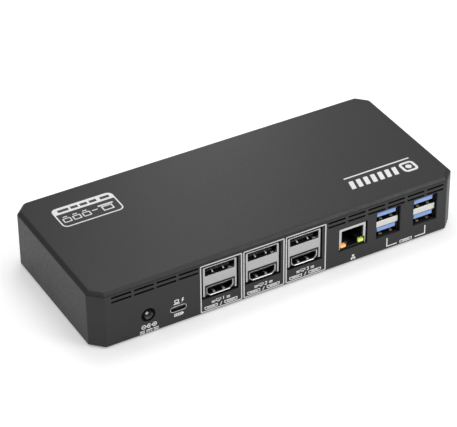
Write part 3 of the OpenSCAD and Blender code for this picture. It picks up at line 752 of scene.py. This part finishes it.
def mouth(bm, shape, flare):
    """Cuts an opening whose edge rounds into the front plate."""
    loft(bm, along_y(shape, [(-1, 0), *turn_in(0, flare, 1, 1), (1, flare)]))


def sheet_case(w, h, depth, openings, flare):
    """A folded sheet box, open below, with solder pegs and flared openings in its front."""
    half, fold, peg = w / 2, 0.4, 0.12
    body, inside, front, pegs = (bmesh.new() for _ in range(4))
    stations = turn_in(-depth, fold, -1)[::-1] + turn_in(0, 0.22)
    loft(body, along_y(rect(-half, half, 0, h, fold), stations))
    block(inside, (SHEET - half, half - SHEET), (SHEET - depth, -SHEET), (-1, h - SHEET), 0.15)
    for opening in openings:
        mouth(front, opening, flare)
    for side in (-1, 1):
        for y in (-6, 3 - depth):
            x = side * (half - SHEET / 2)
            block(pegs, (x - peg, x + peg), (y - 0.5, y + 0.5), (-2.2, 1), peg / 2)
    return combine(combine(combine(body, inside), front), pegs, "UNION")


def finger(bm, x, z, y, reach, rise, w=1.2):
    """A sprung tab bent up out of a floor at z, with its root at the back."""
    path = [(y, z), (y - 0.3 * reach, z + rise), (y - 0.5 * reach, z + rise), (y - reach, z)]
    strip(bm, x - w / 2, x + w / 2, path, 0.15)


def leaf(bm, path):
    """A contact leaf that runs inwards along a path, wide at its free end."""
    wide, narrow, half_thick = 0.7, 0.4, 0.15
    loops = []
    for i, (x, y, z) in enumerate(path):
        half = (wide if i < 2 else narrow) / 2
        left, right, low, high = x - half, x + half, z - half_thick, z + half_thick
        corners = [(left, low), (right, low), (right, high), (left, high)]
        loops.append([Vector((u, y, v)) for u, v in corners])
    loft(bm, loops)


# ---------------- display stacks

def display_case():
    """A stack's case, cut away low in front, with two leaves and a tab in its upper mouth."""
    upper = rect(-8.3, 8.3, 13.2, 18, 0.15)
    lower = rect(-8.4, 8.4, -1, 7.6, 0.3)
    body = sheet_case(DISPLAY_W, DISPLAY_H, DISPLAY_DEPTH, [upper, lower], 0.12)
    legs = bmesh.new()
    block(legs, (-10, 10), (-2, 1), (-3, 1.1), 0.1)
    body = combine(body, legs)
    for x in (-2.5, 3.6):
        path = [(x, -0.8, 14.15), (x + 0.05, -1.2, 14.45), (x + 0.4, -3, 15.5), (x + 0.8, -6, 16.2)]
        leaf(body, path)
    block(body, (-6.8, -5), (-1.8, -0.5), (13.4, 13.9), 0.12)
    return body


def display_rim():
    """The lower socket's shell: a lip, a bore whose deep faces take the painted shade black, and two
    sprung tabs in its floor.
    """
    bm = bmesh.new()
    w, low, high, cut = 7.1, 1.3, 6.1, 1.6
    wall, lip_end, chamfer, front, back = 0.4, 0.26, 0.25, 0.1, -11
    corners = [
        (-w, low + cut), (cut - w, low), (w - cut, low), (w, low + cut), (w, high), (-w, high),
    ]
    shape = polygon(corners, 0.15)
    stations = [
        (back, wall), (-0.1, wall), (front - 0.06, wall - 0.02), (front, wall - 0.1),
        (front, lip_end), (front - chamfer, lip_end - chamfer), (-0.6, -0.05), (back, -0.05),
    ]
    loft(bm, along_y(shape, stations), closed=True)
    # Painted shade: the back and the deep faces of the bore take material index 1, the near-black.
    deep = (0, len(stations) - 2, len(stations) - 1)
    for i, face in enumerate(bm.faces):
        face.material_index = int(i // len(shape(0)) in deep)
    for x in (-2.65, 2.65):
        finger(bm, x, low + 0.02, -0.9, 2.7, 0.45)
    return bm


def build_displays():
    # Lit and shaded copies of one nickel: the case is darkened as painted shade, and the rim is
    # brightened, without the painted hole shade, as a painted highlight on its lip.
    shaded_copy = nickel_sheet("shaded_nickel", (0.44, 0.44, 0.44))
    lit_copy = nickel_sheet("lit_nickel", (0.8, 0.8, 0.8), recess_mm=None)
    for n, place in enumerate(DISPLAYS, 1):
        add_piece(f"display_{n}_case", display_case(), place, "nickel_steel",
                  [f"display_{n}_cage"], shaded_copy)
        add_piece(f"display_{n}_rim", display_rim(), place, "nickel_steel",
                  [f"display_{n}_lower_shell"], lit_copy, inside=PAINTED_SHADE_BLACK)


# ---------------- network socket

def lamp_lens_block(side):
    bm = bmesh.new()
    middle, half_w = side * 5.25 - 0.2, 1.6
    block(bm, (middle - half_w, middle + half_w), (-3.2, -0.35), (0.9, 2.5), 0.35)
    return bm


def build_network():
    frame_w, frame_top, lamp_w, lamp_top = 6.5, 11.4, 7.4, 4.1
    corners = [
        (-lamp_w, -1), (lamp_w, -1), (lamp_w, lamp_top), (frame_w, lamp_top),
        (frame_w, frame_top), (-frame_w, frame_top), (-frame_w, lamp_top), (-lamp_w, lamp_top),
    ]
    case = sheet_case(NETWORK_W, NETWORK_H - 0.45, NETWORK_DEPTH, [polygon(corners, 0.2)], 0.1)
    add_piece("network_case", case, NETWORK, "nickel_steel", ["network_shield"])
    for side, colour in ((1, "amber"), (-1, "green")):
        name = f"network_lamp_{colour}"
        add_piece(f"network_lens_{colour}", lamp_lens_block(side), NETWORK, f"lamp_{colour}", [name])


# ---------------- USB sockets

def usb_stack_case():
    """The side walls are cut back beside the ports, so only the middle of the plate shows."""
    notch = 7.2
    tops = [USB_FLOORS[0] + USB_PORT_H + 0.45, USB_FLOORS[1] + USB_PORT_H + 0.8]
    mouths = [rect(-notch, notch, low, top, 0.3) for low, top in zip((-1, USB_FLOORS[1]), tops)]
    return sheet_case(USB_STACK_W, USB_STACK_H, USB_STACK_DEPTH, mouths, 0.2)


def usb_sleeves():
    """The lining of both ports, from the plate back to the tongues' block."""
    bm = bmesh.new()
    half, sheet, front, back = USB_PORT_W / 2, 0.1, -0.35, -9.4
    stations = [(back, sheet), (front, sheet), (front, -sheet), (back, -sheet)]
    for low in USB_FLOORS:
        port = rect(-half, half, low, low + USB_PORT_H, 0.3)
        loft(bm, along_y(port, stations), closed=True)
    return bm


def usb_springs(floors):
    bm = bmesh.new()
    for z in floors:
        for x in (-3.1, 3.1):
            finger(bm, x, z + 0.12, -0.9, 3.4, 0.55, 1.6)
    return bm


def front_usb_case():
    """A drawn sheet cup with a flared lip, a slot for the contacts and two ears."""
    half_w, half_h, depth = FRONT_USB_W / 2, FRONT_USB_H / 2, FRONT_USB_DEPTH
    shape = rect(-half_w, half_w, -half_h, half_h, 0.7)
    outer = turn_in(-depth, 0.4, -1)[::-1] + turn_in(0, 0.12)
    inner = [(-0.05, -0.24), (-0.6, -0.45), (-9.3, -0.45), (-9.4, -SHEET), (SHEET - depth, -SHEET)]
    body, slot, ears = (bmesh.new() for _ in range(3))
    loft(body, along_y(shape, outer + inner))
    block(slot, (-5.2, 5.2), (-depth - 1, 1 - depth), (-4, 0.5), 0.1)
    for side in (-1, 1):
        xs = sorted((side * (half_w - 0.1), side * (half_w + 2)))
        block(ears, xs, (-11, -6), (-0.85, -0.45), 0.12)
    return combine(combine(body, slot), ears, "UNION")


def build_usb():
    plain = nickel_sheet("plain_nickel", (0.66, 0.66, 0.63), wear_and_sheen=None)
    # Painted shade: the port sleeves take a near-black copy of the nickel, where the real sheet lies
    # in shadow.
    sleeve_shade = nickel_sheet("painted_shade_nickel", (0.08, 0.08, 0.08))
    for n, place in enumerate(USB_STACKS, 1):
        add_piece(f"usb_stack_{n}_case", usb_stack_case(), place, "nickel_steel",
                  [f"usb_stack_{n}_cage"], plain)
        add_piece(f"usb_stack_{n}_sleeves", usb_sleeves(), place, "nickel_steel", look=sleeve_shade)
        add_piece(f"usb_stack_{n}_springs", usb_springs(USB_FLOORS), place, "gold_contact")
    for n, place in enumerate(FRONT_USBS, 1):
        add_piece(f"front_usb_{n}_case", front_usb_case(), place, "nickel_steel",
                  [f"front_usb_{n}_cage"])
        add_piece(f"front_usb_{n}_springs", usb_springs([-USB_PORT_H / 2]), place, "gold_contact")


# ---------------- host and round sockets

def host_shell():
    half, r, wall = HOST_HALF_W, HOST_R, 0.45
    shape = rect(-half, half, -r, r, r - 0.01, 8)
    bm, ears = bmesh.new(), bmesh.new()
    outer = turn_in(-HOST_DEPTH, 0.3, -1)[::-1] + turn_in(0, 0.18)
    inner = lip(0.15, wall)
    loft(bm, along_y(shape, outer + inner + [(-6.4, -wall)]))
    for side in (-1, 1):
        xs = sorted((side * (half - 0.3), side * (half + 1.9)))
        block(ears, xs, (-6.6, -4), (0.2, 0.6), 0.12)
    return combine(bm, ears, "UNION")


def host_tongue():
    bm = bmesh.new()
    block(bm, (-3.35, 3.35), (-6.38, -0.9), (-0.35, 0.35), 0.12)
    return bm


def host_contacts():
    """A row of flat contacts on each face of the tongue."""
    bm = bmesh.new()
    count, pitch, half = 12, 0.5, 0.13
    for i in range(count):
        x = (i - (count - 1) / 2) * pitch
        for side in (-1, 1):
            zs = sorted((side * 0.3, side * 0.38))
            block(bm, (x - half, x + half), (-6.2, -1.5), zs, 0.03)
    return bm


def turned(bm, stations, count=40):
    """A solid of revolution about the socket's axis, from stations (y, radius)."""
    loft(bm, [[Vector((x, y, z)) for x, z in disc(0, 0, r, count)(0)] for y, r in stations])


def power_pin():
    bm = bmesh.new()
    root_r, pin_r, root_end, tail, tip = 2.0, 1.25, -11, -13.8, -1.4
    root = [(tail, root_r - 0.2), (tail + 0.2, root_r), (root_end, root_r), (root_end, pin_r)]
    dome_h, dome_r = 0.9, 0.75
    dome = [
        (tip - dome_h * (1 - math.sin(a)), pin_r - dome_r * (1 - math.cos(a)))
        for a in quarter(5)
    ]
    turned(bm, root + dome)
    return bm


def power_sleeve():
    """The curved contact that lines the lower side of the bore."""
    bm = bmesh.new()
    bore_r, sheet = 2.98, 0.12
    band = stroke(arc(0, 0, bore_r, 190, 285, 14), sheet)
    loft(bm, along_y(lambda grow: band, [(-6, 0), (-0.7, 0)]))
    return bm


def light_pipe():
    bm = bmesh.new()
    inner, collar, pipe_r = WALL + 0.45, WALL + 0.05, 0.6
    dome = [(-0.2, pipe_r), (-0.08, 0.52), (-0.02, 0.35), (0, 0.15)]
    turned(bm, [(-inner, LAMP_TOP), (-collar, LAMP_TOP), (-collar, pipe_r), *dome], 24)
    return bm


def build_small_sockets():
    add_piece("host_shell", host_shell(), HOST, "nickel_steel", ["host_port_shell"])
    add_piece("host_tongue", host_tongue(), HOST, "black_plastic", ["host_port_tongue"])
    add_piece("host_contacts", host_contacts(), HOST, "gold_contact")
    add_piece("power_pin", power_pin(), POWER, "nickel_steel", ["power_socket_pin"])
    add_piece("power_sleeve", power_sleeve(), POWER, "nickel_steel", look=brushed_tin())
    add_piece("light_pipe", light_pipe(), LAMP, "lamp_white", ["lamp_light_pipe"])


# ---------------- feet and label

def rubber_feet():
    """Round feet with a bevelled edge and two rings pressed into the sole."""
    bm = bmesh.new()
    foot_r, foot_h, groove = 5, 1.6, 0.25
    profile = [
        (0, 0.3), (0, 1.2), (groove, 1.4), (groove, 1.8), (0, 2.0),
        (0, 3.0), (groove, 3.2), (groove, 3.6), (0, 3.8),
        (0, foot_r - 0.45), (0.12, foot_r - 0.15), (0.4, foot_r),
        (foot_h - 0.05, foot_r), (foot_h, foot_r - 0.05),
    ]
    for x, y in CORNERS:
        loft(bm, [[Vector((*p, z)) for p in disc(x, y, r, 40)(0)] for z, r in profile])
    return bm


# ---------------- print

# Heights over the wall: of ink, of links between two shapes, and of marks on a white band.
INK_LOW, INK_HIGH, LINK_HIGH, MARK_LOW, MARK_HIGH = -0.03, 0.04, 0.03, 0.01, 0.055
THIN = 0.42   # width of the rear plug outlines


def on_rear():
    """Places a flat drawing on the rear wall, with u to the right as the wall is read."""
    return SHELL_FRAME @ Matrix(((-1, 0, 0, 0), (0, 0, 1, HALF_D), (0, 1, 0, 0), (0, 0, 0, 1)))


def on_front():
    return SHELL_FRAME @ Matrix(((1, 0, 0, 0), (0, 0, -1, -HALF_D), (0, 1, 0, 0), (0, 0, 0, 1)))


def on_top():
    return SHELL_FRAME @ Matrix.Translation((0, 0, SHELL_H))


def on_label():
    flip = Matrix(((-1, 0, 0, 0), (0, 1, 0, 0), (0, 0, -1, 0.05), (0, 0, 0, 1)))
    return SHELL_FRAME @ flip


def fill(bm, outline, low=INK_LOW, high=INK_HIGH):
    slab(bm, outline, lambda p: Vector((p[0], p[1], low)), lambda p: Vector((p[0], p[1], high)))


def line(bm, path, width):
    fill(bm, stroke(path, width))


def bar(bm, u0, u1, v0, v1, r=0.08):
    fill(bm, rect(u0, u1, v0, v1, r, 2)(0))


def link(bm, u0, u1, v0, v1):
    """A bar that joins two shapes. It is a little thinner, so that no two top faces coincide."""
    fill(bm, rect(u0, u1, v0, v1, 0.03, 2)(0), high=LINK_HIGH)


def ring(bm, shape, width):
    """A printed outline of a shape, drawn inside its edge."""
    levels = [(INK_LOW, 0), (INK_HIGH, 0), (INK_HIGH, -width), (INK_LOW, -width)]
    loft(bm, along_z(shape, levels), closed=True)


def monitor(bm, u, v, w, h):
    ring(bm, rect(u, u + w, v + 0.3 * h, v + h, 0.15, 2), 0.28)
    bar(bm, u + 0.25 * w, u + 0.75 * w, v, v + 0.16 * h)


def laptop(bm, u, v, w, h, width):
    ring(bm, rect(u + 0.14 * w, u + 0.86 * w, v + 0.28 * h, v + h, 0.2, 2), width)
    bar(bm, u, u + w, v, v + 0.2 * h)


DIGITS = {
    1: [(0.1, 0.75), (0.35, 1), (0.35, 0)],
    2: [(0, 0.8), (0.12, 1), (0.48, 1), (0.6, 0.8), (0.55, 0.6), (0, 0), (0.65, 0)],
    3: [(0, 1), (0.6, 1), (0.3, 0.6), (0.55, 0.45), (0.6, 0.2), (0.45, 0), (0, 0)],
}


def digit(bm, n, u, v, h):
    line(bm, [(u + a * h, v + b * h) for a, b in DIGITS[n]], 0.36)


def plug(bm, u, v, w, h, cut_left, cut_right, width=0.34):
    """A socket's outline, with its lower corners cut, around a tongue."""
    corners = [
        (u, v + cut_left), (u + cut_left, v), (u + w - cut_right, v), (u + w, v + cut_right),
        (u + w, v + h), (u, v + h),
    ]
    ring(bm, polygon(corners, 0.05, 2), width)
    bar(bm, u + 0.2 * w, u + 0.8 * w, v + 0.42 * h, v + 0.64 * h)


def frame_middle(n):
    first, pitch = -34.5, 24.28
    return first + pitch * (n - 1)


def display_frames():
    bm = bmesh.new()
    half_w, low, high, width = 11.78, 0.5, 29.05, 0.65
    for n in (1, 2, 3):
        middle = frame_middle(n)
        ring(bm, rect(middle - half_w, middle + half_w, low, high, 0.8), width)
    return bm


def display_legends():
    """The number of each stack and the outlines of its two plugs."""
    bm = bmesh.new()
    for n in (1, 2, 3):
        text = frame_middle(n) - 0.3
        monitor(bm, text - 2.9, 4.4, 3.0, 1.9)
        digit(bm, n, text + 0.9, 4.5, 1.75)
        for side in (-1, 1):
            middle_bar = text + side * 4.2
            bar(bm, middle_bar - 1, middle_bar + 1, 5.35, 5.85)
            bar(bm, middle_bar - 1, middle_bar + 1, 4.6, 5.0)
        plug(bm, text - 9.3, 1.65, 7.4, 1.85, 0.7, 0.05, THIN)
        plug(bm, text + 1.9, 1.65, 7.4, 1.85, 0.6, 0.6, THIN)
        line(bm, [(text - 0.5, 1.6), (text + 0.5, 3.5)], 0.45)
    return bm


def rear_symbols():
    """The signs beside the host, power, network and USB sockets."""
    bm = bmesh.new()
    power_u = -74.9
    laptop(bm, -61.2, 11.4, 3.4, 2.8, 0.48)
    bolt(bm)
    battery(bm)
    polarity(bm, power_u, 4.3)
    supply(bm, power_u, 1.3)
    network_boxes(bm, 42.2, 1.0)
    usb_bracket(bm)
    return bm


def bolt(bm):
    fill(bm, [
        (-56.9, 12.6), (-56.3, 12.6), (-57.1, 11.2), (-55.4, 13.1),
        (-56.1, 13.1), (-55.4, 14.3), (-56.3, 14.3),
    ])


def battery(bm):
    ring(bm, rect(-61.1, -56.3, 4.1, 5.9, 0.2, 2), 0.4)
    bar(bm, -56.3, -55.8, 4.6, 5.4)
    for i in range(3):
        bar(bm, -60.5 + 1.35 * i, -59.5 + 1.35 * i, 4.65, 5.35)


def usb_bracket(bm):
    """Two arms that join both USB stacks to one plug outline."""
    foot, arm = 1.6, 6.1
    for side, u in ((1, 62.6), (-1, 85.8)):
        line(bm, [(u, 6.7), (u, foot), (u + side * arm, foot)], 0.62)
    plug(bm, 70.4, 0.85, 7.5, 1.8, 0.05, 0.05, THIN)


def polarity(bm, u, v):
    """Minus, centre contact and plus, joined by lines."""
    r, pitch, width = 1.3, 2.95, 0.45
    for i in (-1, 1):
        ring(bm, disc(u + i * pitch, v, r, 24), width)
        bar(bm, u + i * pitch - 0.55, u + i * pitch + 0.55, v - 0.17, v + 0.17, 0.03)
    link(bm, u + pitch - 0.17, u + pitch + 0.17, v - 0.55, v + 0.55)
    line(bm, arc(u, v, r - width / 2, 50, 310), width)
    fill(bm, disc(u, v, 0.5, 16)(0))
    link(bm, u - pitch + r - 0.1, u - r + 0.1, v - 0.16, v + 0.16)
    link(bm, u + 0.3, u + pitch - r + 0.1, v - 0.16, v + 0.16)


def supply(bm, u, v):
    """The sign for direct current between two rules."""
    bar(bm, u - 1.7, u + 1.7, v + 0.35, v + 0.9)
    for i in (-1, 0, 1):
        bar(bm, u + 1.2 * i - 0.45, u + 1.2 * i + 0.45, v - 0.65, v - 0.15)
    for side in (-1, 1):
        for low in (0.35, -0.65):
            bar(bm, u + side * 3.8 - 1.4, u + side * 3.8 + 1.4, v + low, v + low + 0.5)


def network_boxes(bm, u, v):
    """Three joined boxes."""
    bar(bm, u - 0.65, u + 0.65, v + 1.85, v + 3)
    link(bm, u - 0.13, u + 0.13, v + 1.45, v + 1.9)
    link(bm, u - 0.9, u + 0.9, v + 1.1, v + 1.45)
    for side in (-1, 1):
        bar(bm, u + side * 0.8 - 0.55, u + side * 0.8 + 0.55, v, v + 1.15)


def front_symbols():
    """A plug outline under each USB socket, and a headphone under the headset socket."""
    bm = bmesh.new()
    for u in (26.0, 55.6):
        plug(bm, u - 2.4, 1.9, 4.8, 1.8, 0.05, 0.05)
        for side in (-1, 1):
            bar(bm, u + side * 3.5 - 0.6, u + side * 3.5 + 0.6, 2.6, 3.0)
    u, v, r = 77.7, 2.9, 1.45
    fill(bm, stroke(arc(u, v, r, -10, 190, 14), 0.36), high=LINK_HIGH)
    for side in (-1, 1):
        bar(bm, u + side * 1.35 - 0.4, u + side * 1.35 + 0.4, v - 1.6, v - 0.15, 0.2)
    return bm


BADGE = (56.5, 90.5, -30.5, -13.5)   # left, right, lower and upper edge on the top


def badge():
    """A rounded frame with a white band, and a laptop that serves three monitors."""
    bm = bmesh.new()
    u0, u1, v0, v1 = BADGE
    r, band = 3.0, v0 + 5.5
    ring(bm, rect(u0, u1, v0, v1, r, 6), 0.75)
    left = arc_corner((u0, v1), (u0, v0), (u1, v0), r, 6)
    right = arc_corner((u0, v0), (u1, v0), (u1, v1), r, 6)
    fill(bm, [*left, *right, (u1, band), (u0, band)], high=LINK_HIGH)
    laptop(bm, u0 + 3, band + 2.6, 8.4, 5.6, 0.7)
    line(bm, [(u0 + 12.4, band + 5), (u0 + 15.4, band + 5)], 0.7)
    for i in range(3):
        u = u0 + 16.6 + 5.4 * i
        ring(bm, rect(u, u + 4.4, band + 4.2, band + 7.8, 0.4, 2), 0.6)
        bar(bm, u + 1, u + 3.4, band + 2.6, band + 3.3)
    return bm


def badge_marks():
    """Dark marks on the badge's band."""
    bm = bmesh.new()
    u0, _, v0, _ = BADGE
    low, high = v0 + 1.9, v0 + 3.9
    for a, b in ((2.2, 7.4), (9.4, 13.4), (14.6, 18.6), (19.8, 23.8), (25, 31)):
        fill(bm, rect(u0 + a, u0 + b, low, high, 0.3, 2)(0), MARK_LOW, MARK_HIGH)
    return bm


def emblem():
    """A plain mark: a ring around a disc, slanted bars and a rule."""
    bm = bmesh.new()
    u0, v0, side = -91, 22.2, 8.6
    middle = (u0 + side / 2, v0 + side / 2)
    ring(bm, rect(u0, u0 + side, v0, v0 + side, 2.4, 5), 1.5)
    fill(bm, disc(*middle, 1.7, 28)(0))
    low, lean, w, h, pitch = v0 + 1, 1.6, 2.6, 6.6, 4.3
    for i in range(7):
        u = u0 + 10.4 + pitch * i
        slanted = [(u, low), (u + w, low), (u + w + lean, low + h), (u + lean, low + h)]
        fill(bm, rounded(slanted, 0.4, 3))
    bar(bm, u0, -51.5, 19.4, 20.3, 0.3)
    return bm


def label_border():
    """An empty table on the label underneath."""
    bm = bmesh.new()
    ring(bm, rect(-33.5, 33.5, -18.5, 18.5, 1.5), 0.4)
    for v in (-6, 6):
        link(bm, -33.3, 33.3, v - 0.15, v + 0.15)
    return bm


def build_prints():
    bright = white_ink("bright_ink", (0.95, 0.95, 0.95))
    add_piece("display_frames", display_frames(), on_rear(), "printed_ink")
    add_piece("display_legends", display_legends(), on_rear(), "printed_ink", look=bright)
    add_piece("rear_symbols", rear_symbols(), on_rear(), "printed_ink", look=bright)
    add_piece("front_symbols", front_symbols(), on_front(), "printed_ink")
    add_piece("badge", badge(), on_top(), "printed_ink")
    add_piece("badge_marks", badge_marks(), on_top(), "cover_plastic", look=dark_ink())
    add_piece("emblem", emblem(), on_top(), "printed_ink")
    add_piece("label_border", label_border(), on_label(), "cover_plastic", look=dark_ink())


# ---------------- CAD nodes that stay

# Widths in mm of the rounded edges that each material slot gets.
ROUNDING = {
    "base_plastic": 0.3, "circuit_board": 0.1, "heat_sink_aluminium": 0.12, "thermal_pad": 0.1,
    "chip_plastic": 0.12, "ferrite": 0.4, "capacitor_can": 0.25, "capacitor_ceramic": 0.08,
    "tinned_steel": 0.15, "black_plastic": 0.1, "usb_blue_plastic": 0.12, "gold_contact": 0.04,
    "screw_steel": 0.12, "label_film": 0.05, "lamp_white": 0.12,
}


def refine(thing, width):
    """Rounds a CAD node's edges with modifiers, which leave its own mesh as it is."""
    weld = thing.modifiers.new("weld", "WELD")
    weld.merge_threshold = 0.001 * MM
    edges = thing.modifiers.new("edges", "BEVEL")
    edges.width = width * MM
    edges.segments = 2
    edges.limit_method = "ANGLE"
    edges.angle_limit = math.radians(40)
    edges.use_clamp_overlap = True
    even_normals(thing)


def finish_cad_nodes():
    for part in frame["record"]["subparts"]:
        thing = frame["nodes"][part["node"]]
        slot = part["material_slot"]
        thing.data.materials.clear()
        # The power and audio socket bodies take the painted shade black.
        thing.data.materials.append(PAINTED_SHADE_BLACK if part["node"] in DARK_BODIES else LOOKS[slot])
        if not thing.hide_render and slot in ROUNDING:
            refine(thing, ROUNDING[slot])


build_cover()
build_displays()
build_network()
build_usb()
build_small_sockets()
add_piece("foot_pads", rubber_feet(), TABLE_FRAME, "foot_rubber", ["rubber_feet"])
build_prints()
finish_cad_nodes()


# ---------------- stage

def floor():
    """A white table that glows a little, so that its shadows stay soft. Sizes are in metres."""
    bm = bmesh.new()
    half, thick = 6.0, 0.02
    corners = [(-half, -half), (half, -half), (half, half), (-half, half)]
    slab(bm, corners, lambda p: Vector((*p, -thick)), lambda p: Vector((*p, 0)))
    thing = as_object(bm, "floor")
    thing.data.materials.append(
        surface("studio_floor", (0.82, 0.82, 0.82), 0.7, mottle=0.004, blotch_mm=300,
                grain_mm=5, grain_depth=0.001, specular=0.1, emission=0.42)
    )


def studio_world():
    """A soft surround that is brightest overhead and dark at the horizon."""
    zenith = 1.23
    world = bpy.data.worlds.new("studio")
    world.use_nodes = True
    tree = world.node_tree
    tree.nodes.clear()
    where = node(tree, "TexCoord").outputs["Generated"]
    height = node(tree, "SeparateXYZ", {}, {"Vector": where}).outputs["Z"]
    above = node(tree, "Math", {"operation": "MAXIMUM"}, {0: height, 1: 0.0}).outputs["Value"]
    level = node(tree, "Math", {"operation": "MULTIPLY"}, {0: above, 1: above}).outputs["Value"]
    strength = node(tree, "Math", {"operation": "MULTIPLY"}, {0: level, 1: zenith}).outputs["Value"]
    back = node(tree, "Background", {}, {"Color": (1, 1, 1, 1), "Strength": strength})
    node(tree, "OutputWorld", {}, {"Surface": back.outputs["Background"]})
    bpy.context.scene.world = world


def soft_light(name, place, target, size, power):
    """A studio light that faces a point on the object. Places are in metres."""
    data = bpy.data.lights.new(name, "AREA")
    data.shape = "RECTANGLE"
    data.size, data.size_y = size
    data.energy = power
    thing = bpy.data.objects.new(name, data)
    thing.location = place
    thing.rotation_mode = "QUATERNION"
    thing.rotation_quaternion = (Vector(target) - Vector(place)).to_track_quat("-Z", "Y")
    thing.visible_camera = False
    bpy.context.scene.collection.objects.link(thing)


def camera():
    """Looks down at the rear wall and the power end."""
    azimuth, elevation, roll = math.radians(150.63), math.radians(35.53), math.radians(-0.48)
    distance, aside, above = 1.1336, -0.0021, 0.0084
    back = Vector((
        math.sin(azimuth) * math.cos(elevation),
        -math.cos(azimuth) * math.cos(elevation),
        math.sin(elevation),
    ))
    level = Vector((math.cos(azimuth), math.sin(azimuth), 0))
    upright = back.cross(level)
    right = level * math.cos(roll) + upright * math.sin(roll)
    up = upright * math.cos(roll) - level * math.sin(roll)
    data = bpy.data.cameras.new("camera")
    data.lens = 173.1
    data.shift_x = -0.0098
    data.shift_y = 0.023
    data.clip_start, data.clip_end = 0.05, 50
    thing = bpy.data.objects.new("camera", data)
    spot = Vector((0, 0, LOW.z * MM)) + right * aside + up * above + back * distance
    basis = Matrix((right, up, back)).transposed().to_4x4()
    thing.matrix_world = Matrix.Translation(spot) @ basis
    bpy.context.scene.collection.objects.link(thing)
    bpy.context.scene.camera = thing


floor()
studio_world()
soft_light("above_top", (0, -0.1, 0.35), (0, -0.03, 0.03), (0.15, 0.15), 0.33)
soft_light("back_sheen", (-0.14, -0.3, 0.2), (0, -0.04, 0.033), (0.1, 0.06), 0.1)
soft_light("back_fill", (-0.3, -0.4, 0.3), (0, -0.03, 0.03), (0.3, 0.3), 0.12)
soft_light("corner_panel", (-0.5, 0.7, 0.85), (-0.05, 0.04, 0.03), (0.4, 0.4), 2.6)
soft_light("corner_sheen", (-0.23, 0.23, 0.25), (-0.1, 0.045, 0.02), (0.1, 0.1), 0.15)
camera()
bpy.context.scene.view_settings.view_transform = "Standard"
